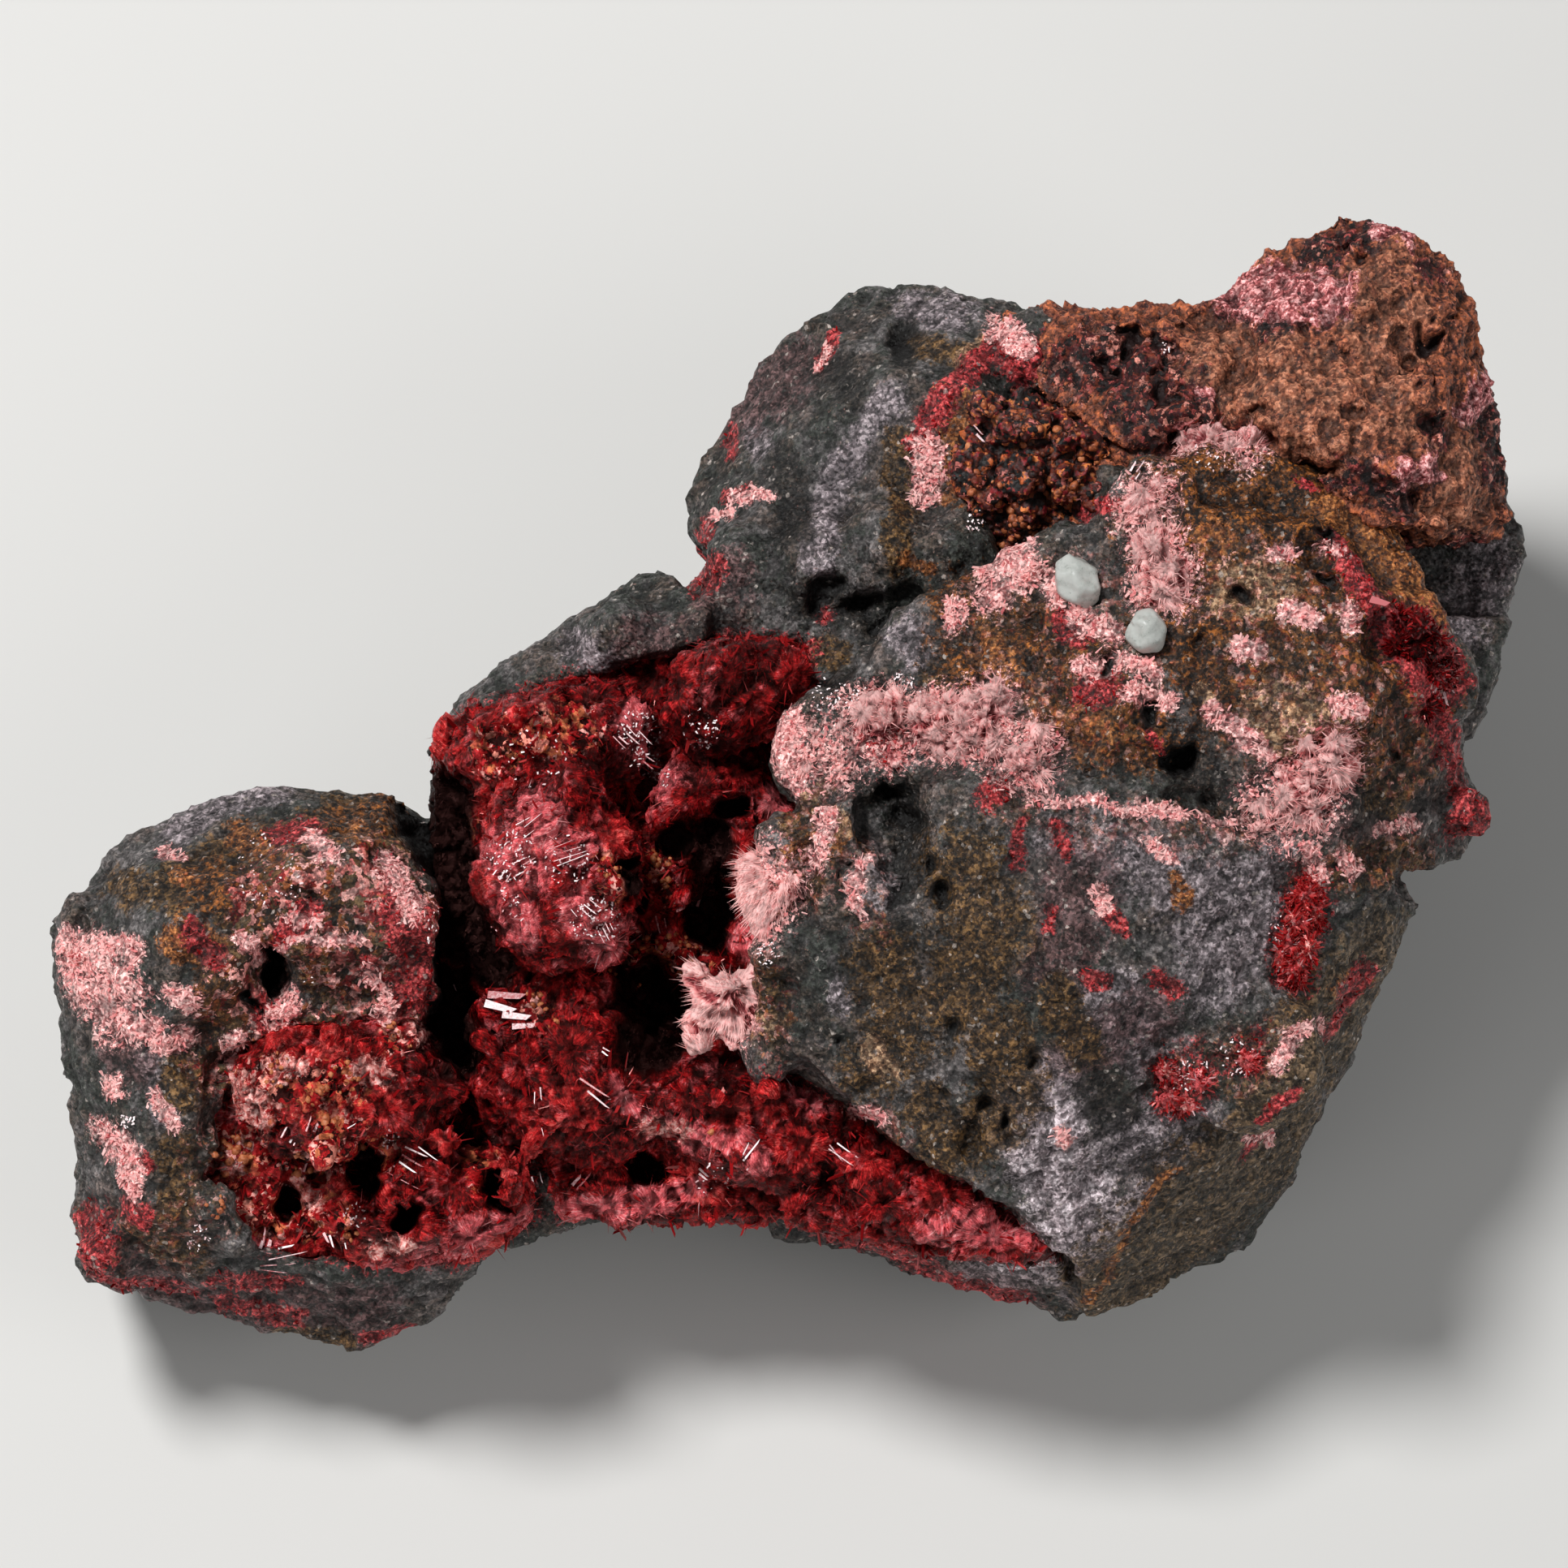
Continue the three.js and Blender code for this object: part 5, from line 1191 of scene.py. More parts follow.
def rock_finish(rock):
    """Grey sugary rock with olive and ochre stains, lilac bruises, pink powder, red stains and dark stains,
    with painted shade in its hollows, pits, slots and crevices, painted light on its ridges and painted
    glints.
    """
    f = Finish("grey_rock")
    grain = f.sugar(0.13)
    fine = f.noise(0.26, 4, 0.7)
    mottle = f.plus(f.times(f.noise(5, 3, 0.5), 0.35), f.times(f.noise(0.7, 6, 0.8), 0.65))
    base = f.ramp(mottle, (0.38, rock.dark), (0.46, rock.green), (0.52, rock.grey), (0.64, rock.light))
    brown = f.tones(0.5, (30, 22, 18), (74, 56, 46), (116, 92, 80))
    base = f.mix(f.between(f.noise(2.6, 5, 0.7), 0.48, 0.58, 0.0, 0.45), base, brown)
    tones = (
        ("lilac", 0.8, 0.3, ((84, 76, 79), (132, 120, 124), (180, 166, 170)), 0.7),
        ("chalk", 1.0, 0.3, ((126, 111, 114), (176, 160, 164), (216, 202, 206)), 0.6),
        ("plum", 0.7, 0.3, ((40, 20, 22), (88, 58, 58), (124, 90, 90)), 0.6),
        # Dark stains, partly painted shadow in the crevices.
        ("dark", 0.85, 0.3, ((12, 10, 9), (28, 24, 21), (58, 50, 44)), 0.5),
        ("olive", 0.95, 0.24, ((28, 19, 9), (70, 48, 24), (120, 88, 50)), 0.5),
        ("flank", 0.85, 0.3, ((44, 35, 24), (84, 69, 51), (124, 102, 78)), 0.4),
        ("umber", 0.98, 0.28, ((20, 10, 4), (70, 38, 12), (146, 84, 30)), 0.5),
        ("ochre", 1.0, 0.15, ((60, 28, 10), (128, 72, 34), (182, 118, 66)), 0.4),
        ("tan", 1.0, 0.2, ((92, 60, 40), (150, 112, 84), (206, 170, 134)), 0.35),
    )
    for name, share, soft, (dark, middle, light), size in tones:
        tone = f.tones(size, dark, middle, light)
        base = f.mix(f.times(f.zone(name, 0.6, 3.6, soft), share), base, tone)
    mixed = f.flakes(
        0.3, (0.0, (34, 24, 12)), (0.22, (72, 50, 26)), (0.4, (112, 74, 42)), (0.52, (150, 66, 50)),
        (0.6, (204, 118, 104)), (0.66, (242, 180, 170)), (0.74, (58, 42, 24)), (0.84, (124, 24, 32)),
        (0.9, (184, 104, 50)), (0.96, (90, 64, 38)),
    )
    base = f.mix(f.times(f.zone("mixed", 0.6, 3, 0.3), 0.42), base, mixed)
    confetti = f.flakes(
        0.5, (0.0, (38, 24, 12)), (0.16, (88, 60, 32)), (0.3, (128, 24, 28)), (0.4, (200, 110, 104)),
        (0.52, (244, 180, 172)), (0.62, (150, 84, 46)), (0.72, (70, 26, 18)), (0.8, (224, 150, 142)),
        (0.9, (100, 80, 54)),
    )
    base = f.mix(f.times(f.zone("confetti", 0.6, 3, 0.3), 0.85), base, confetti)
    red = f.tones(0.3, (66, 8, 12), (150, 30, 36), (206, 86, 86))
    base = f.mix(f.zone("red", 0.35, 4, 0.12), base, red)
    powder = f.tones(0.25, (204, 112, 112), (242, 172, 168), (255, 210, 204))
    base = f.mix(f.zone("pink", 0.28, 4.2, 0.06), base, powder)
    base = f.mix(f.zone("green_crumb", 0.4, 1.5, 0.1), base, (22, 150, 84))
    # Painted glints: a few tiny cells are made pale.
    base = f.mix(f.times(f.between(f.cell_number(0.16), 0.975, 0.985), 0.55), base, (186, 174, 166))
    specks = f.between(f.noise(0.2, 3, 0.8), 0.64, 0.68)
    speck = f.mix(f.between(f.noise(2.4), 0.45, 0.55), (168, 118, 108), (160, 153, 150))
    base = f.mix(f.times(specks, 0.55), base, speck)
    crack = f.math("ABSOLUTE", f.spread(f.noise(3.2, 5, 0.65), 1))
    base = f.dim(base, crack, 0, 0.014, 0.45, 1.0)
    base = f.dim(base, grain, 0.1, 0.9, 0.62, 1.42)
    base = f.dim(base, fine, 0.34, 0.62, 0.5, 1.26)
    # Painted shade in the hollows and painted light on the ridges.
    base = f.dim(base, f.kept("hollow"), -0.8, 0.8, 1.2, 0.42)
    # Painted shade: near black in the pits and under the crust's slots.
    base = f.mix(f.between(f.kept("pit"), 0.2, 0.75), base, (10, 7, 6))
    rough = f.between(f.noise(0.25, 3, 0.7), 0.4, 0.62, 0.75, 0.34)
    f.set(Base_Color=base, Roughness=rough, Specular_IOR_Level=0.4)
    f.set(Normal=f.facets(0.12, 0.65, f.relief(0.13)))
    return f.material


def ore_finish(ore):
    """Red-brown sugary ore with maroon parts, dull sandy patches and pink bloom, with painted shade in its
    hollows and pits and painted light on its ridges.
    """
    f = Finish("brown_ore")
    grain = f.sugar(0.14)
    fine = f.noise(0.3, 5, 0.75)
    base = f.tones(0.55, ore.maroon, ore.brown, ore.rust, 0.13)
    sandy = f.tones(0.4, (112, 62, 44), ore.sand, (186, 128, 100))
    base = f.mix(f.times(f.zone("sandy", 1.1, 3.4, 0.3), 0.8), base, sandy)
    maroon = f.flakes(
        0.26, (0.0, (24, 7, 7)), (0.3, (70, 18, 20)), (0.5, (116, 50, 34)), (0.66, (150, 66, 62)),
        (0.76, (54, 14, 14)), (0.88, (196, 126, 112)),
    )
    base = f.mix(f.zone("maroon", 0.7, 3.6, 0.2), base, maroon)
    bloom = f.tones(0.3, (134, 44, 48), (196, 104, 104), (236, 176, 174))
    base = f.mix(f.zone("bloom", 0.4, 3.6, 0.12), base, bloom)
    base = f.mix(f.between(f.noise(0.34, 5, 0.85), 0.6, 0.64), base, (58, 14, 14))
    base = f.mix(f.between(f.noise(0.42, 4, 0.85), 0.38, 0.33), base, (22, 8, 6))
    base = f.mix(f.between(f.noise(0.2, 3, 0.8), 0.65, 0.69), base, (206, 146, 126))
    base = f.dim(base, grain, 0.1, 0.9, 0.68, 1.34)
    base = f.dim(base, fine, 0.36, 0.62, 0.6, 1.25)
    # Painted shade in the hollows and painted light on the ridges.
    base = f.dim(base, f.kept("hollow"), -0.7, 0.7, 1.28, 0.36)
    # Painted shade: dark in the pits.
    base = f.mix(f.between(f.kept("pit"), 0.25, 0.9), base, (30, 8, 7))
    rough = f.between(f.noise(0.25, 3, 0.7), 0.4, 0.62, 0.8, 0.42)
    f.set(Base_Color=base, Roughness=rough, Specular_IOR_Level=0.45)
    f.set(Normal=f.facets(0.12, 0.5, f.relief(0.12)))
    return f.material


def crimson_bed_finish(crimson):
    """The silky crimson coat of the hollow, rusty and rosy in places, with painted sheen over the boss,
    painted shade that is black in its slots and dark in its hollows and seams, and painted light on its
    ridges.
    """
    f = Finish("crimson_silk")
    grain = f.sugar(0.16)
    streak = f.plus(f.spread(f.rays(3, 4), 0.7), f.noise(0.7, 6, 0.8))
    streak = f.plus(streak, f.kept("tone"))
    base = f.ramp(
        streak, (0.3, (34, 1, 2)), (0.42, crimson.deep), (0.52, (136, 12, 16)),
        (0.62, (180, 34, 36)), (0.76, (224, 98, 92)),
    )
    silky = f.plus(f.times(f.rays(3, 4), 0.6), f.times(f.noise(0.6, 6, 0.8), 0.4))
    # The rose marks are rosy crystals and, over the boss, painted sheen along the rays.
    rose = f.ramp(silky, (0.36, (140, 28, 36)), (0.52, (218, 96, 102)), (0.68, (255, 198, 198)))
    blush = f.between(f.noise(1.3, 5, 0.75), 0.54, 0.66, 0.0, 0.6)
    base = f.mix(f.math("MAXIMUM", f.times(f.zone("rose", 0.4, 3.4, 0.3), 0.85), blush), base, rose)
    rusty = f.flakes(
        0.42, (0.0, (30, 4, 4)), (0.14, (146, 16, 20)), (0.34, (184, 82, 62)), (0.44, crimson.orange),
        (0.54, (196, 48, 52)), (0.66, (246, 172, 162)), (0.74, (150, 20, 24)), (0.86, (76, 12, 12)),
        (0.92, (236, 146, 128)),
    )
    base = f.mix(f.zone("rust", 0.5, 3.4, 0.2), base, rusty)
    powder = f.tones(0.3, (176, 70, 66), (230, 144, 136), (250, 198, 190))
    base = f.mix(f.zone("pale", 0.35, 4, 0.1), base, powder)
    base = f.dim(base, grain, 0.1, 0.9, 0.72, 1.3)
    # Painted shade in the hollows and painted light on the ridges.
    base = f.dim(base, f.kept("hollow"), -0.8, 0.7, 1.6, 0.25)
    # Painted shade: near black in the slots.
    base = f.mix(f.between(f.kept("deep"), 0.3, 0.75), base, (6, 1, 1))
    rough = f.between(f.noise(0.8, 4, 0.7), 0.4, 0.6, 0.6, 0.16)
    silk = f.bump(f.rays(3.5, 4), 0.1, f.relief(0.06))
    f.set(Base_Color=base, Roughness=rough, Normal=f.facets(0.3, 0.9, silk), Specular_IOR_Level=0.45)
    f.set(Specular_Tint=(255, 168, 160))
    return f.material


def crimson_crystal_finish(crimson):
    """Clear crimson crystals with glassy faces."""
    f = Finish("crimson_crystals")
    base = f.ramp(
        f.kept("tint"),
        (0.0, crimson.deep), (0.4, crimson.bright), (0.62, (204, 60, 60)), (0.8, crimson.rose),
        # The palest crystals end in the painted highlight colour.
        (1.0, crimson.glint_white),
    )
    f.set(Base_Color=base, Roughness=0.2, IOR=1.63, Transmission_Weight=0.2, Specular_IOR_Level=0.35)
    f.set(Specular_Tint=(255, 176, 170))
    return f.material


def painted_glint_finish(crimson):
    """Faces of the crystals turned to the key light, in a pale base colour that is a painted highlight over
    the crimson.
    """
    f = Finish("pearly_faces")
    base = f.ramp(f.plus(f.kept("tint"), f.spread(f.noise(0.12), 1.2)),
                  (0.25, (186, 64, 70)), (0.6, crimson.glint_white), (0.9, (255, 240, 240)))
    f.set(Base_Color=base, Roughness=0.34, IOR=1.6, Specular_IOR_Level=0.5)
    return f.material


def pink_finish(pink, name, rough, rays):
    """Pale pink fibres, red at their roots."""
    f = Finish(name)
    mottle = f.spread(f.noise(0.2, 4, 0.75), 0.8)
    if rays:
        mottle = f.plus(mottle, f.spread(f.rays(1.8), 1.5))
    base = f.ramp(
        f.plus(f.kept("tint"), mottle), (0.02, pink.red), (0.22, (208, 98, 102)), (0.44, pink.pink),
        (0.78, pink.pale),
    )
    normal = f.bump(f.rays(2.4), 0.1) if rays else f.relief(0.05)
    if rays:
        # Painted shade in the hollows and painted light on the ridges.
        base = f.dim(base, f.kept("hollow"), -0.8, 0.8, 1.15, 0.5)
    f.set(Base_Color=base, Roughness=rough, Normal=normal, Specular_IOR_Level=0.4)
    return f.material


def rust_finish(ore):
    """Rust-coloured balls and grains."""
    f = Finish("rust_grains")
    mottle = f.spread(f.noise(0.22, 4, 0.7), 1.4)
    base = f.ramp(
        f.plus(f.kept("tint"), mottle),
        (0.05, (16, 5, 3)), (0.34, (78, 26, 14)), (0.66, ore.rust), (0.95, (214, 132, 84)),
    )
    f.set(Base_Color=base, Roughness=0.45, Specular_IOR_Level=0.5)
    f.set(Normal=f.facets(0.1, 0.4, f.relief(0.06)))
    return f.material


def pocket_finish():
    """The granular floor of the round pocket: dark brown, maroon, orange and pink grains, with painted
    shade in its hollows and painted light on its ridges.
    """
    f = Finish("pocket_floor")
    grain = f.sugar(0.14)
    base = f.flakes(
        0.34, (0.0, (14, 4, 3)), (0.26, (58, 16, 12)), (0.42, (96, 36, 20)), (0.56, (120, 24, 30)),
        (0.66, (168, 84, 42)), (0.76, (70, 20, 16)), (0.87, (190, 108, 100)), (0.94, (206, 118, 62)),
    )
    base = f.dim(base, grain, 0.1, 0.9, 0.7, 1.3)
    # Painted shade in the hollows and painted light on the ridges.
    base = f.dim(base, f.kept("hollow"), -0.8, 0.6, 1.4, 0.16)
    f.set(Base_Color=base, Roughness=0.5, Normal=f.facets(0.14, 0.6, f.relief(0.1)), Specular_IOR_Level=0.5)
    return f.material


def quartz_finish(quartz):
    """Milky, half-clear quartz."""
    f = Finish("milky_quartz")
    base = f.mix(f.between(f.noise(0.6, 5, 0.7), 0.35, 0.6), (194, 199, 192), quartz.body)
    f.set(
        Base_Color=base, Roughness=f.between(f.noise(0.3), 0.3, 0.7, 0.25, 0.5), IOR=1.544,
        Transmission_Weight=quartz.clearness, Normal=f.relief(0.05, 0.6),
    )
    return f.material


def plain_finish(name, values):
    """A plain dull finish."""
    f = Finish(name)
    f.set(Base_Color=values, Roughness=0.7)
    return f.material


class SPECIMEN_OT_stage(Operator):
    """Sets up the pale floor, the soft lights and the camera"""

    bl_idname = "specimen.stage"
    bl_label = "Stage"

    def execute(self, context):
        stage = context.scene.specimen_stage
        form = bmesh.new()
        bmesh.ops.create_grid(form, x_segments=1, y_segments=1, size=FLOOR_SIZE / 2)
        mesh = bpy.data.meshes.new("floor")
        form.to_mesh(mesh)
        form.free()
        floor = linked(mesh, "floor")
        mesh.materials.append(plain_finish("pale_floor", stage.floor))
        for name, place, size, energy in (
            ("key_light", KEY_LIGHT, 0.13, stage.key),
            ("fill_light", FILL_LIGHT, 0.3, stage.fill),
            ("low_light", RIM_LIGHT, 0.26, stage.low),
        ):
            light = bpy.data.lights.new(name, "AREA")
            light.shape = "DISK"
            light.size = size
            light.energy = energy
            lamp = bpy.data.objects.new(name, light)
            lamp.location = place
            lamp.rotation_euler = (place - SHOW_MIDDLE).to_track_quat("Z", "Y").to_euler()
            context.scene.collection.objects.link(lamp)
        world = bpy.data.worlds.new("soft_room")
        world.use_nodes = True
        background = world.node_tree.nodes["Background"].inputs
        background["Color"].default_value = (0.95, 0.97, 1, 1)
        background["Strength"].default_value = stage.room
        context.scene.world = world
        context.scene.view_settings.view_transform = "Standard"
        lens = bpy.data.cameras.new("show_camera")
        lens.sensor_width = SENSOR_WIDTH
        lens.lens = SENSOR_WIDTH * (VIEW_DISTANCE - RIM_DEPTH) / FIELD_WIDTH
        lens.clip_start, lens.clip_end = 0.01, 20
        camera = bpy.data.objects.new("show_camera", lens)
        turn = Matrix((ACROSS, UP, EYE)).transposed().to_4x4()
        camera.matrix_world = Matrix.Translation(VIEWPOINT) @ turn
        context.scene.collection.objects.link(camera)
        context.scene.camera = camera
        return {"FINISHED"}


def scattered(growth, spots, smallest, largest, middle, spread):
    """Adds grains of mixed sizes at some spots."""
    for spot, way in spots:
        size = smallest + (largest - smallest) * growth.random.random() ** 2
        root = spot - way * size * 0.2 * MM
        sizes = (size, size * 0.8, size)
        growth.add(root, growth.jitter(1), way, sizes, growth.random.normal(middle, spread))


def clustered(growth, across, up, radius, number, tree):
    """Random places of a surface in a round cluster of the show side, those in its deep pits left out."""
    for _ in range(number):
        turn, out = growth.random.uniform(0, 2 * math.pi), radius * math.sqrt(growth.random.random())
        spot = (across + out * math.cos(turn), up + out * math.sin(turn))
        point, solid = on_surface(*spot, tree)[0], on_surface(*spot)[0]
        if point and solid and depth_of(point) > depth_of(solid) - 1:
            yield point


def gleam():
    """The way in which a flat face throws the key light to the eye."""
    return ((KEY_LIGHT - SHOW_MIDDLE).normalized() + EYE).normalized()


def fill_out(form, balls):
    """Adds balls to a form where the photograph shows it fuller than the solids."""
    for across, up, out, radius in balls:
        at = Matrix.Translation(place_at(across, up, out))
        bmesh.ops.create_icosphere(form, subdivisions=2, radius=radius * MM, matrix=at)


def plug(form, across, up, radius):
    """Fills the seat round a growth with rock, level with the rock about it."""
    ring = []
    for step in range(RING_POINTS):
        turn = step * 2 * math.pi / RING_POINTS
        spot = (across + RING_REACH * radius * math.cos(turn), up + RING_REACH * radius * math.sin(turn))
        point, _ = on_surface(*spot, ROCK)
        if point:
            ring.append((*spot, depth_of(point)))
    ring = np.array(ring)
    ring = ring[ring[:, 2] > np.sort(ring[:, 2])[-4] - RING_DROP]
    level = np.linalg.lstsq(np.column_stack([ring[:, :2], np.ones(len(ring))]), ring[:, 2], rcond=None)[0]
    if len(ring) < RING_FEWEST:
        level = np.array([0, 0, ring[:, 2].mean()])
    made = bmesh.ops.create_cone(form, cap_ends=True, segments=18, radius1=1, radius2=1, depth=2)
    for vert in made["verts"]:
        spot = (across + vert.co.x * radius, up + vert.co.y * radius)
        out = level @ (*spot, 1) - PLUG_DEPTH[vert.co.z > 0]
        vert.co = place_at(*spot, out)


def bed_of(node, name, spacing, neighbours, rounds, fills=()):
    """A solid's shape in an even mesh, filled out, drawn towards its neighbours and softened."""
    form = solid_copy([node])
    fill_out(form, fills)
    bed = remeshed(form, name, spacing)
    close_seams(bed.data, neighbours)
    soften(bed, rounds)
    return bed


class SPECIMEN_OT_rock(Operator):
    """Makes the host rock with its relief, pits, stains and crumbs"""

    bl_idname = "specimen.rock"
    bl_label = "Host Rock"

    def execute(self, context):
        rock = context.scene.specimen_rock
        form = solid_copy(["host_rock"])
        for seat in GROWTH_SEATS:
            plug(form, *seat)
        fill_out(form, FILLS)
        filled = BVHTree.FromBMesh(form)
        piece = remeshed(form, "rock_body", rock.voxel)
        mesh = piece.data
        growths = [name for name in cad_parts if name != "host_rock"]
        close_seams(mesh, growths)
        soften(piece, 6)
        places, facing = places_of(mesh), facing_of(mesh)
        shown = wandered(places)
        zones = {name: reach(shown, table, filled) for name, table in ROCK_MARKS.items()}
        flat = np.clip((places[:, 2] - 0.05 * MM) / (0.6 * MM), 0, 1)
        flat *= np.where(facing[:, 2] < -0.9, 0.3, 1)
        calm = 1 - 0.75 * reach(shown, SMOOTH_ROCK, filled)
        front = np.clip(-1.6 * (facing @ np.array(UP)) - 0.5, 0, 1)
        grained = places - np.outer(places @ np.array(ACROSS), np.array(ACROSS)) * 0.75
        rise = lumps(places, 4.2, 1) * rock.lumps * (0.5 + 0.5 * calm)
        rise += lumps(places, 1.5, 5) * rock.lumps * 0.35
        rise += chips(places, 1.8, 2) * rock.chips * calm
        rise += chips(places, 0.75, 3) * rock.chips * (0.35 + 0.5 * zones["mixed"]) * calm
        rise += lumps(grained, 0.6, 6) * 0.22 * MM * front
        rise += lumps(places, 0.42, 4) * rock.grit
        places += facing * (rise * flat)[:, None]
        places = outwards(places, -reach(shown, ROCK_DIPS, filled) * DIP)
        places, depth = sunk(places, wandered(places, 1.8), ROCK_PITS, filled)
        below = np.clip(3 * nearness(places, ["crimson_crystal_crust"], 2), 0, 1)
        slots = reach(shown, CRIMSON_DEEP, by_depth=SLOT_WALLS) * below
        places = outwards(places, -slots * (SLOT_DEPTH + SLOT_ROOM))
        # Painted shade: the rock under the slots counts as a pit and is painted near black.
        depth = np.maximum(depth, SLOT_SHADE * slots)
        places[:, 2] = np.maximum(places[:, 2], 0)
        facing_show = facing @ np.array(EYE) > -0.2
        pinks = [name for name in growths if name.startswith("pink")]
        pink_near = nearness(places, pinks, 1.2) * facing_show
        red_near = nearness(places, RED_NODES, 1.0) * facing_show
        zones["pink"] = np.maximum(zones["pink"], 0.62 * pink_near)
        zones["red"] = np.maximum(zones["red"], 0.66 * red_near)
        move_points(mesh, places)
        for name, values in zones.items():
            keep(mesh, name, values)
        keep(mesh, "pit", depth)
        keep_hollows(mesh)
        thin(piece, rock.most_faces, np.clip(0.3 + facing @ np.array(EYE), 0, 1))
        mesh = piece.data
        finish = rock_finish(rock)
        finish_piece(piece, ["host_rock"], finish)
        ground = Ground(mesh, 11)
        crumbs = Growth(12)
        spots = ground.spots(rock.crumbs, ground.towards_show(0.12) * (ground.middles[:, 2] > 2 * MM))
        scattered(crumbs, spots, 0.14, 0.4, 0.5, 0.2)
        crumbs = crumbs.joined("rock_crumbs", [grain_shape(k) for k in range(4)])
        shown = wandered(places_of(crumbs.data))
        for name, table in ROCK_MARKS.items():
            keep(crumbs.data, name, reach(shown, table, filled))
        finish_piece(crumbs, [], finish, smooth=False)
        self.sow(mesh, ground, rock, context)
        return {"FINISHED"}

    def sow(self, mesh, ground, rock, context):
        """Sows pink and crimson crystals over the rock where its marks have these colours."""
        values = {}
        for name in ("pink", "red", "mixed", "confetti"):
            row = np.empty(len(mesh.vertices), np.float32)
            mesh.attributes[name].data.foreach_get("value", row)
            values[name] = ground.averaged(row)
        facing = ground.towards_show(0.0)
        clumps = np.clip(lumps(ground.middles, 0.9, 14) * 2.4 + 0.5, 0, 1)
        mixed, confetti = values["mixed"], values["confetti"]
        pink = facing * clumps * np.clip(values["pink"] * 1.8 - 0.5 + mixed * 0.08 + confetti * 0.35, 0, 1)
        red = facing * np.clip(values["red"] * 1.8 - 0.4 + mixed * 0.06 + confetti * 0.25, 0, 1)
        tufts = Growth(15)
        for spot, way in ground.spots(rock.flakes, pink):
            size = tufts.sizes(0.07, 0.18, 0.35, 0.14, 0.4)
            along = tufts.jitter(1).cross(way) + way * tufts.random.uniform(0.05, 0.6)
            flat = way + tufts.jitter(0.4)
            tufts.add(spot - way * 0.04 * MM, along, flat, size, tufts.random.normal(0.66, 0.2))
        finish = pink_finish(context.scene.specimen_pink, "pink_tufts", 0.4, False)
        tufts.finished("rock_tufts", [lath_shape()], finish)
        sparks = Growth(16)
        for spot, way in ground.spots(rock.flakes * 2 // 5, red):
            size = sparks.sizes(0.05, 0.14, 0.4, 0.12, 0.34)
            along, flat = way + sparks.jitter(0.9), sparks.jitter(1)
            sparks.add(spot - way * 0.05 * MM, along, flat, size, sparks.random.normal(0.4, 0.2))
        finish = crimson_crystal_finish(context.scene.specimen_crimson)
        sparks.finished("rock_red_crystals", [lath_shape()], finish)


class SPECIMEN_OT_ore(Operator):
    """Makes the brown ore and the crust of the round pocket, with their grains"""

    bl_idname = "specimen.ore"
    bl_label = "Brown Ore"

    def execute(self, context):
        ore = context.scene.specimen_ore
        neighbours = ["host_rock", "rust_pocket_crust", "pink_spray_top"]
        piece = bed_of("brown_ore_mass", "ore_body", ore.voxel, neighbours, 8, ORE_FILLS)
        mesh = piece.data
        places, facing = places_of(mesh), facing_of(mesh)
        shown = wandered(places, 1.5)
        zones = {name: reach(shown, table) for name, table in ORE_MARKS.items()}
        rise = lumps(places, 2.6, 21) * 0.42 * MM + lumps(places, 1.0, 27) * 0.24 * MM
        rise += chips(places, 0.8, 22) * 0.18 * MM * (1 - 0.6 * zones["sandy"])
        rise += chips(places, 0.4, 23) * 0.07 * MM + lumps(places, 0.28, 24, 2) * ore.grit
        places += facing * rise[:, None]
        places, depth = sunk(places, wandered(places, 2.2), ORE_PITS)
        move_points(mesh, places)
        for name, values in zones.items():
            keep(mesh, name, values)
        keep(mesh, "pit", depth)
        keep_hollows(mesh)
        finish = ore_finish(ore)
        finish_piece(piece, ["brown_ore_mass"], finish)
        ground = Ground(mesh, 25)
        grains = Growth(26)
        scattered(grains, ground.spots(ore.grains, ground.towards_show(0.2)), 0.08, 0.28, 0.5, 0.2)
        grains = grains.joined("ore_grains", [grain_shape(k) for k in range(4)])
        shown = wandered(places_of(grains.data), 1.5)
        for name, table in ORE_MARKS.items():
            keep(grains.data, name, reach(shown, table))
        finish_piece(grains, [], finish, smooth=False)
        self.make_pocket(ore)
        return {"FINISHED"}

    def make_pocket(self, ore):
        """Makes the round pocket's granular crust with its balls."""
        neighbours = ["host_rock", "brown_ore_mass"]
        pocket = bed_of("rust_pocket_crust", "pocket_crust", FINE_MESH, neighbours, 3, POCKET_FILLS)
        places, facing = places_of(pocket.data), facing_of(pocket.data)
        clumps = lumps(places, 1.0, 31)
        rise = clumps * 0.4 * MM + chips(places, 0.45, 32) * 0.2 * MM
        move_points(pocket.data, places + facing * rise[:, None])
        keep_hollows(pocket.data, 0.05, 0.25)
        finish_piece(pocket, ["rust_pocket_crust"], pocket_finish())
        ground = Ground(pocket.data, 37)
        clumps = np.clip(lumps(ground.middles, 1.1, 31) * 2 + 0.3, 0.02, 1)
        balls = Growth(38)
        scattered(balls, ground.spots(ore.balls, ground.towards_show(0.02) * clumps), 0.14, 0.5, 0.6, 0.24)
        shapes = [grain_shape(k, 2, 0.22) for k in range(3)]
        balls.finished("pocket_balls", shapes, rust_finish(ore), True)


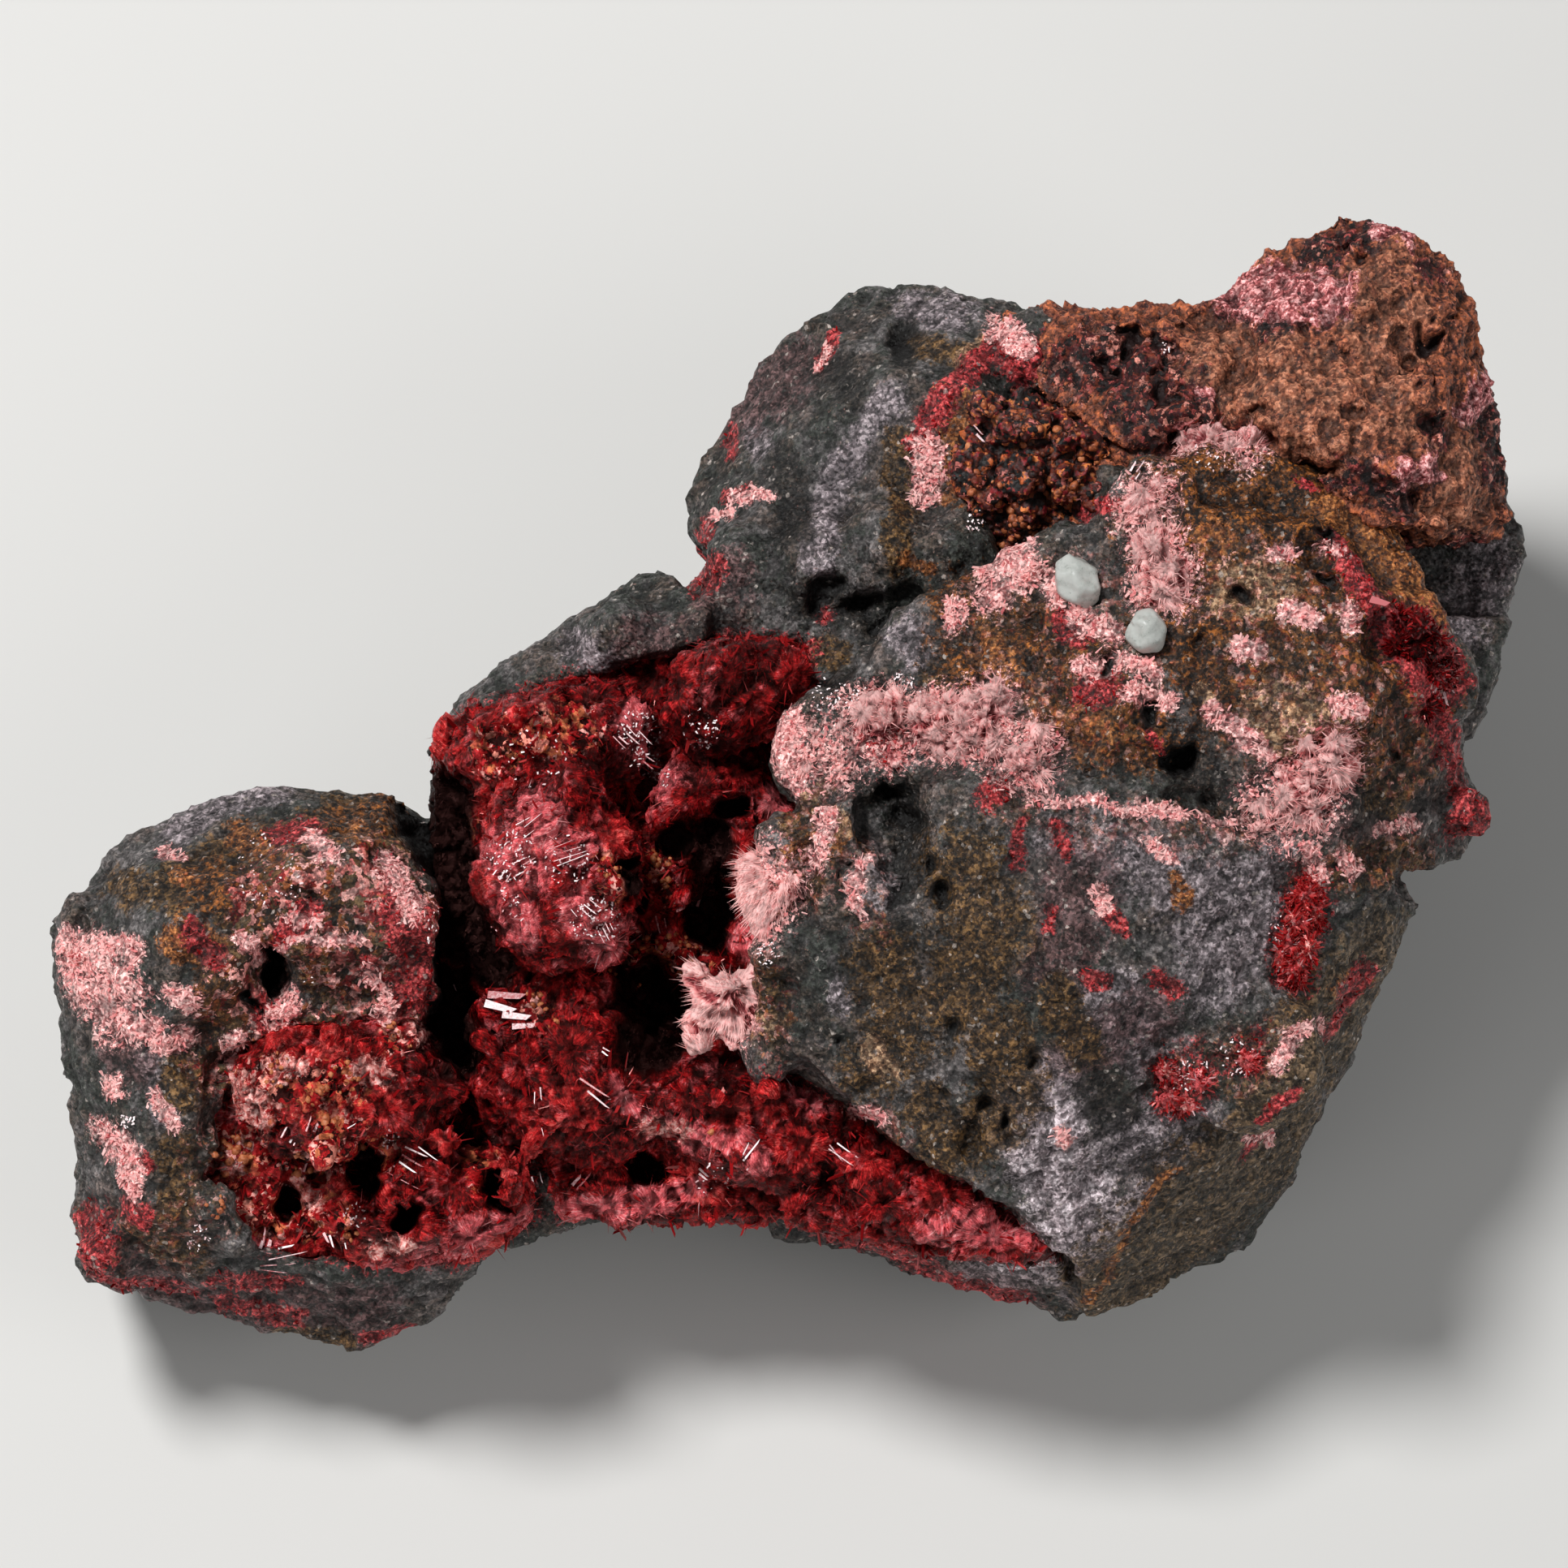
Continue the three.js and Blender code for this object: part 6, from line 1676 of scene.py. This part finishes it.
class SPECIMEN_OT_crimson(Operator):
    """Makes the crimson crust of the hollow with its slivers and its blades"""

    bl_idname = "specimen.crimson"
    bl_label = "Crimson Crust"

    def execute(self, context):
        crimson = context.scene.specimen_crimson
        neighbours = [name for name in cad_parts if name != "crimson_crystal_crust"]
        piece = bed_of("crimson_crystal_crust", "crimson_bed", crimson.voxel, neighbours, 4)
        mesh = piece.data
        ground = Ground(mesh, 41)
        stars = Rosettes(ground.spaced(crimson.rosettes, ground.towards_show(0.1), 1.7))
        places, facing = places_of(mesh), facing_of(mesh)
        shown = wandered(places)
        boss = reach(shown, BOSS) > 0.5
        deep = reach(shown, CRIMSON_DEEP, by_depth=SLOT_WALLS)
        ray, seam, which = stars.around(places)
        ray[boss] = self.parallel(shown[boss])
        streak = streaks_of(ray)
        rise = lumps(places, 2.6, 41) * 0.35 + chips(places, 1.5, 42) * 0.42 + chips(places, 0.6, 44) * 0.22
        rise += streak * 0.05 + seam * 0.08
        rise *= 1 - 0.75 * np.clip(-hollows(mesh, 20) / 0.25, 0, 1)
        places = places + facing * rise[:, None] * MM
        smooth_deep = deep * deep * (3 - 2 * deep)
        places = outwards(places, reach(shown, CRIMSON_RAISED) * RAISE - smooth_deep * SLOT_DEPTH)
        move_points(mesh, places)
        tones = np.random.default_rng(45).normal(0, 0.055, len(stars.spots))
        keep(mesh, "ray", ray)
        # Painted shade: darker along the seams between the rosettes and in the upper part of the hollow.
        painted_shade = 0.06 * (1 - seam) + 0.07 * reach(shown, CRIMSON_PAINTED_SHADE)
        keep(mesh, "tone", tones[which] + 0.05 * lumps(places, 3, 46) - painted_shade)
        keep(mesh, "rose", reach(shown, CRIMSON_ROSE_AND_SHEEN))
        keep(mesh, "rust", reach(shown, CRIMSON_RUST))
        keep(mesh, "pale", reach(shown, CRIMSON_PALE))
        keep(mesh, "deep", deep)
        keep_hollows(mesh, 0.06, 0.25)
        finish_piece(piece, ["crimson_crystal_crust"], crimson_bed_finish(crimson))
        crystals = crimson_crystal_finish(crimson)
        ground = Ground(mesh, 47)
        bare = ground.averaged(1 - np.clip(deep * 1.5, 0, 1)) * ground.towards_show(0.08)
        rosy = ground.averaged(reach(shown, CRIMSON_ROSE_AND_SHEEN))
        self.sow(ground, stars, crimson, bare, rosy, crystals)
        return {"FINISHED"}

    def parallel(self, shown):
        """Rays that all run one way over the boss in the middle of the hollow."""
        along = shown[:, 0] * math.cos(BOSS_TURN) + shown[:, 1] * math.sin(BOSS_TURN)
        aside = shown[:, 1] * math.cos(BOSS_TURN) - shown[:, 0] * math.sin(BOSS_TURN)
        return np.stack([aside * RAYS, shown[:, 2] * RAYS * 0.5, along * 0.7], axis=1)

    def sow(self, ground, stars, crimson, bare, rosy, crystals):
        """Sows the fine slivers along the rays, and single blades among them."""
        slivers = Growth(48)
        for share, number, tint in (
            (bare * (1 - rosy), crimson.slivers, 0.34), (bare * rosy, crimson.slivers // 4, 0.66),
        ):
            for spot, way in ground.spots(number, share):
                wide = slivers.random.uniform(0.03, 0.08)
                size = (wide, wide * 0.5, 0.15 + 0.7 * slivers.random.random() ** 2)
                along = stars.away(spot).normalized() + way * slivers.random.uniform(0, 0.5)
                along += slivers.jitter(0.3)
                root = spot - way * 0.05 * MM
                slivers.add(root, along, way, size, slivers.random.normal(tint, 0.15))
        slivers.finished("crimson_slivers", [sliver_shape()], crystals)
        blades = Growth(49)
        for spot, way in ground.spots(crimson.blades, bare * (ground.facing @ np.array(EYE) > 0.35)):
            size = blades.sizes(0.08, 0.2, 0.3, 0.4, 0.9)
            along = stars.away(spot).normalized() * 0.7 + way * blades.random.uniform(0.3, 1)
            along += blades.jitter(0.35)
            root = spot - way * 0.12 * MM
            blades.add(root, along, blades.jitter(1), size, blades.random.normal(0.34, 0.15))
        blades.finished("crimson_blades", [lath_shape()], crystals)


def red_spots(places, seed):
    """How red the pink growths are at each point, in small spots."""
    return np.clip(lumps(places, 1.1, seed) * 3 - 0.75, 0, 0.8)


class SPECIMEN_OT_pink(Operator):
    """Makes the pale pink band, fans and sprays with their fibres"""

    bl_idname = "specimen.pink"
    bl_label = "Pink Sprays"

    def execute(self, context):
        pink = context.scene.specimen_pink
        bed_finish = pink_finish(pink, "pink_bed", 0.5, True)
        fibre_finish = pink_finish(pink, "pink_fibres", 0.35, False)
        for seed, (node, hand_centres) in enumerate(PINK_CENTRES.items()):
            neighbours = [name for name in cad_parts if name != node]
            bed = bed_of(node, node + "_bed", pink.voxel, neighbours, 5, PINK_FILLS.get(node, ()))
            ground = Ground(bed.data, 80 + seed)
            area = (ground.areas * (ground.facing @ np.array(EYE) > 0.1)).sum() * 1e4
            centres = [(on_surface(*centre)[0], EYE) for centre in hand_centres]
            if not centres:
                centres = ground.spaced(int(pink.rosettes * area), ground.towards_show(0.05), 0.85)
            stars = Rosettes(centres, 0.35)
            places, facing = places_of(bed.data), facing_of(bed.data)
            shown = wandered(places)
            ray, seam, _ = stars.around(places)
            streak = streaks_of(ray)
            core = np.maximum(reach(shown, PINK_CORE), red_spots(places, 61 + seed))
            rise = lumps(places, 1.1, 51 + seed) * 0.22 + lumps(places, 0.45, 57 + seed) * 0.1
            rise += streak * 0.09 + seam * 0.2 - 0.16 - 0.45 * core
            move_points(bed.data, places + facing * rise[:, None] * MM)
            keep(bed.data, "ray", ray)
            keep(bed.data, "tint", np.clip(0.5 + 0.14 * streak + 0.3 * seam - 0.7 * core, 0, 1))
            keep_hollows(bed.data, 0.05, 0.2)
            finish_piece(bed, [node], bed_finish)
            fibres = Growth(90 + seed)
            ground = Ground(bed.data, 85 + seed)
            spots = ground.spots(int(pink.fibres * area * 100), ground.towards_show(0.03))
            reds = red_spots(np.array([spot for spot, _ in spots]), 61 + seed)
            for (spot, way), red in zip(spots, reds):
                aim = stars.away(spot)
                along = aim.normalized() + way * fibres.random.uniform(0.05, 0.6) + fibres.jitter(0.16)
                size = fibres.sizes(0.035, 0.075, 0.6, 0.22, 0.7)
                tint = 0.56 + 0.3 * min(1, aim.length / MM) - 0.55 * red + fibres.random.normal(0, 0.15)
                fibres.add(spot - way * 0.04 * MM, along, way, size, tint)
            fibres.finished(node + "_fibres", [sliver_shape()], fibre_finish)
        return {"FINISHED"}


class SPECIMEN_OT_druses(Operator):
    """Makes the crimson patch, the vein and the dark crystals on the right rim"""

    bl_idname = "specimen.druses"
    bl_label = "Crimson Druses"

    def execute(self, context):
        crimson = context.scene.specimen_crimson
        bed_finish = crimson_bed_finish(crimson)
        crystals = crimson_crystal_finish(crimson)
        for seed, (node, tint, rosy) in enumerate(DRUSES):
            bed = bed_of(node, node + "_bed", FINE_MESH, ["host_rock", "brown_ore_mass"], 3)
            ground = Ground(bed.data, 100 + seed)
            stars = Rosettes(ground.spaced(DRUSE_ROSETTES, ground.towards_show(0.05), 0.8))
            places, facing = places_of(bed.data), facing_of(bed.data)
            ray, seam, _ = stars.around(places)
            rise = lumps(places, 0.9, 91 + seed) * 0.16 + streaks_of(ray) * 0.06 + seam * 0.1
            move_points(bed.data, places + facing * rise[:, None] * MM)
            keep(bed.data, "ray", ray)
            # Painted shade: the crust is darker along the seams between its rosettes.
            keep(bed.data, "tone", tint - 0.36 - 0.08 * (1 - seam))
            keep(bed.data, "pale", np.clip(0.3 * rosy + lumps(places, 0.7, 97 + seed) * rosy, 0, 1))
            keep(bed.data, "rose", np.clip(rosy + 0.6 * lumps(places, 0.9, 94 + seed), 0, 1))
            keep_hollows(bed.data, 0.05, 0.2)
            finish_piece(bed, [node], bed_finish)
            blades = Growth(110 + seed)
            ground = Ground(bed.data, 105 + seed)
            for spot, way in ground.spots(DRUSE_BLADES, ground.towards_show(0.02)):
                size = blades.sizes(0.05, 0.13, 0.4, 0.15, 0.5)
                along = stars.away(spot).normalized() * 0.8 + way * 0.7 + blades.jitter(0.35)
                root, flat = spot - way * 0.06 * MM, blades.jitter(1)
                blades.add(root, along, flat, size, blades.random.normal(tint, 0.2))
            blades.finished(node + "_blades", [lath_shape()], crystals)
        return {"FINISHED"}


class SPECIMEN_OT_quartz(Operator):
    """Makes the two milky quartz grains"""

    bl_idname = "specimen.quartz"
    bl_label = "Quartz Grains"

    def execute(self, context):
        finish = quartz_finish(context.scene.specimen_quartz)
        for seed, node in enumerate(["quartz_grain_large", "quartz_grain_small"]):
            grain = remeshed(solid_copy([node]), node.replace("grain", "crystal"), QUARTZ_MESH)
            soften(grain, 9)
            places, facing = places_of(grain.data), facing_of(grain.data)
            rise = lumps(places, 1.3, 111 + seed, 2) * 0.14 * MM
            rise += chips(places, 1.4, 113 + seed) * 0.06 * MM
            move_points(grain.data, places + facing * rise[:, None])
            finish_piece(grain, [node], finish)
        return {"FINISHED"}


class SPECIMEN_OT_glints(Operator):
    """Sets the bright laths, the glints and the rusty grains on the dressed pieces"""

    bl_idname = "specimen.glints"
    bl_label = "Bright Faces"

    def execute(self, context):
        form = bmesh.new()
        for name in CARRIERS:
            form.from_mesh(bpy.data.objects[name].data)
        tree = BVHTree.FromBMesh(form)
        form.free()
        bright = Growth(50)
        self.set_laths(bright, tree)
        for across, up, radius, number in SPARKLES:
            for point in clustered(bright, across, up, radius, number * 2, tree):
                wide = bright.random.uniform(0.03, 0.085)
                size = (wide, wide * 0.4, wide * bright.random.uniform(1, 2.6))
                flat = gleam() + bright.jitter(0.12)
                root = point + EYE * GLINT_LIFT * MM
                bright.add(root, bright.jitter(1).cross(flat), flat, size, bright.random.normal(0.75, 0.15))
        # Painted highlight: the laths and glints are given a pale base colour.
        glint_paint = painted_glint_finish(context.scene.specimen_crimson)
        bright.finished("crimson_plates", [lath_shape()], glint_paint)
        rusty = Growth(51)
        for across, up, radius, number, size in RUST_CLUSTERS:
            for point in clustered(rusty, across, up, radius, number, tree):
                wide = size * rusty.random.uniform(0.5, 1.1)
                sizes = (wide, wide * 0.7, wide)
                rusty.add(point, rusty.jitter(1), EYE, sizes, rusty.random.normal(0.7, 0.16))
        finish = rust_finish(context.scene.specimen_ore)
        rusty.finished("rust_crumbs", [grain_shape(k) for k in range(3)], finish, True)
        return {"FINISHED"}

    def set_laths(self, bright, tree):
        """Lays bright laths side by side, each with its root on the surface."""
        for across, up, degrees, long, wide, number, apart in BRIGHT_LATHS:
            turn = math.radians(degrees)
            aim = (math.cos(turn), math.sin(turn))
            for index in range(number):
                off = (index - (number - 1) / 2 + bright.random.uniform(-0.3, 0.3)) * apart
                back = bright.random.uniform(-0.8, -0.2) * long
                spot = (across - off * aim[1] + back * aim[0], up + off * aim[0] + back * aim[1])
                point, _ = on_surface(*spot, tree)
                if point is None:
                    continue
                way = ACROSS * aim[0] + UP * aim[1]
                flat = gleam() + bright.jitter(0.06)
                along = way - flat * way.dot(flat) / flat.length_squared + bright.jitter(0.09)
                root = point + EYE * LATH_LIFT * MM
                thick = wide * bright.random.uniform(0.35, 0.8)
                size = (thick, wide * 0.2, long * bright.random.uniform(0.5, 1))
                bright.add(root, along, flat, size, bright.random.normal(0.5, 0.2))


class SPECIMEN_PT_panel(Panel):
    """Lists the specimen's settings and pieces in the order in which they are made"""

    bl_idname = "SPECIMEN_PT_panel"
    bl_label = "Erythrite Specimen"
    bl_space_type = "VIEW_3D"
    bl_region_type = "UI"
    bl_category = "Specimen"

    def draw(self, context):
        for group in SETTINGS:
            settings = getattr(context.scene, group)
            box = self.layout.box()
            for key in type(settings).__annotations__:
                box.prop(settings, key)
        for piece in PIECES:
            self.layout.operator(piece.bl_idname)


SETTINGS = {
    "specimen_stage": StageSettings,
    "specimen_rock": RockSettings,
    "specimen_ore": OreSettings,
    "specimen_crimson": CrimsonSettings,
    "specimen_pink": PinkSettings,
    "specimen_quartz": QuartzSettings,
}
PIECES = (
    SPECIMEN_OT_stage, SPECIMEN_OT_rock, SPECIMEN_OT_ore, SPECIMEN_OT_crimson, SPECIMEN_OT_pink,
    SPECIMEN_OT_druses, SPECIMEN_OT_quartz, SPECIMEN_OT_glints,
)


def register():
    for kind in (*SETTINGS.values(), *PIECES, SPECIMEN_PT_panel):
        bpy.utils.register_class(kind)
    for name, kind in SETTINGS.items():
        setattr(bpy.types.Scene, name, PointerProperty(type=kind))


def unregister():
    for name in SETTINGS:
        delattr(bpy.types.Scene, name)
    for kind in reversed((*SETTINGS.values(), *PIECES, SPECIMEN_PT_panel)):
        bpy.utils.unregister_class(kind)


def main():
    """Makes every piece in order."""
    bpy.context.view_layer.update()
    register()
    for piece in PIECES:
        group, name = piece.bl_idname.split(".")
        getattr(getattr(bpy.ops, group), name)()


if __name__ == "__main__":
    main()
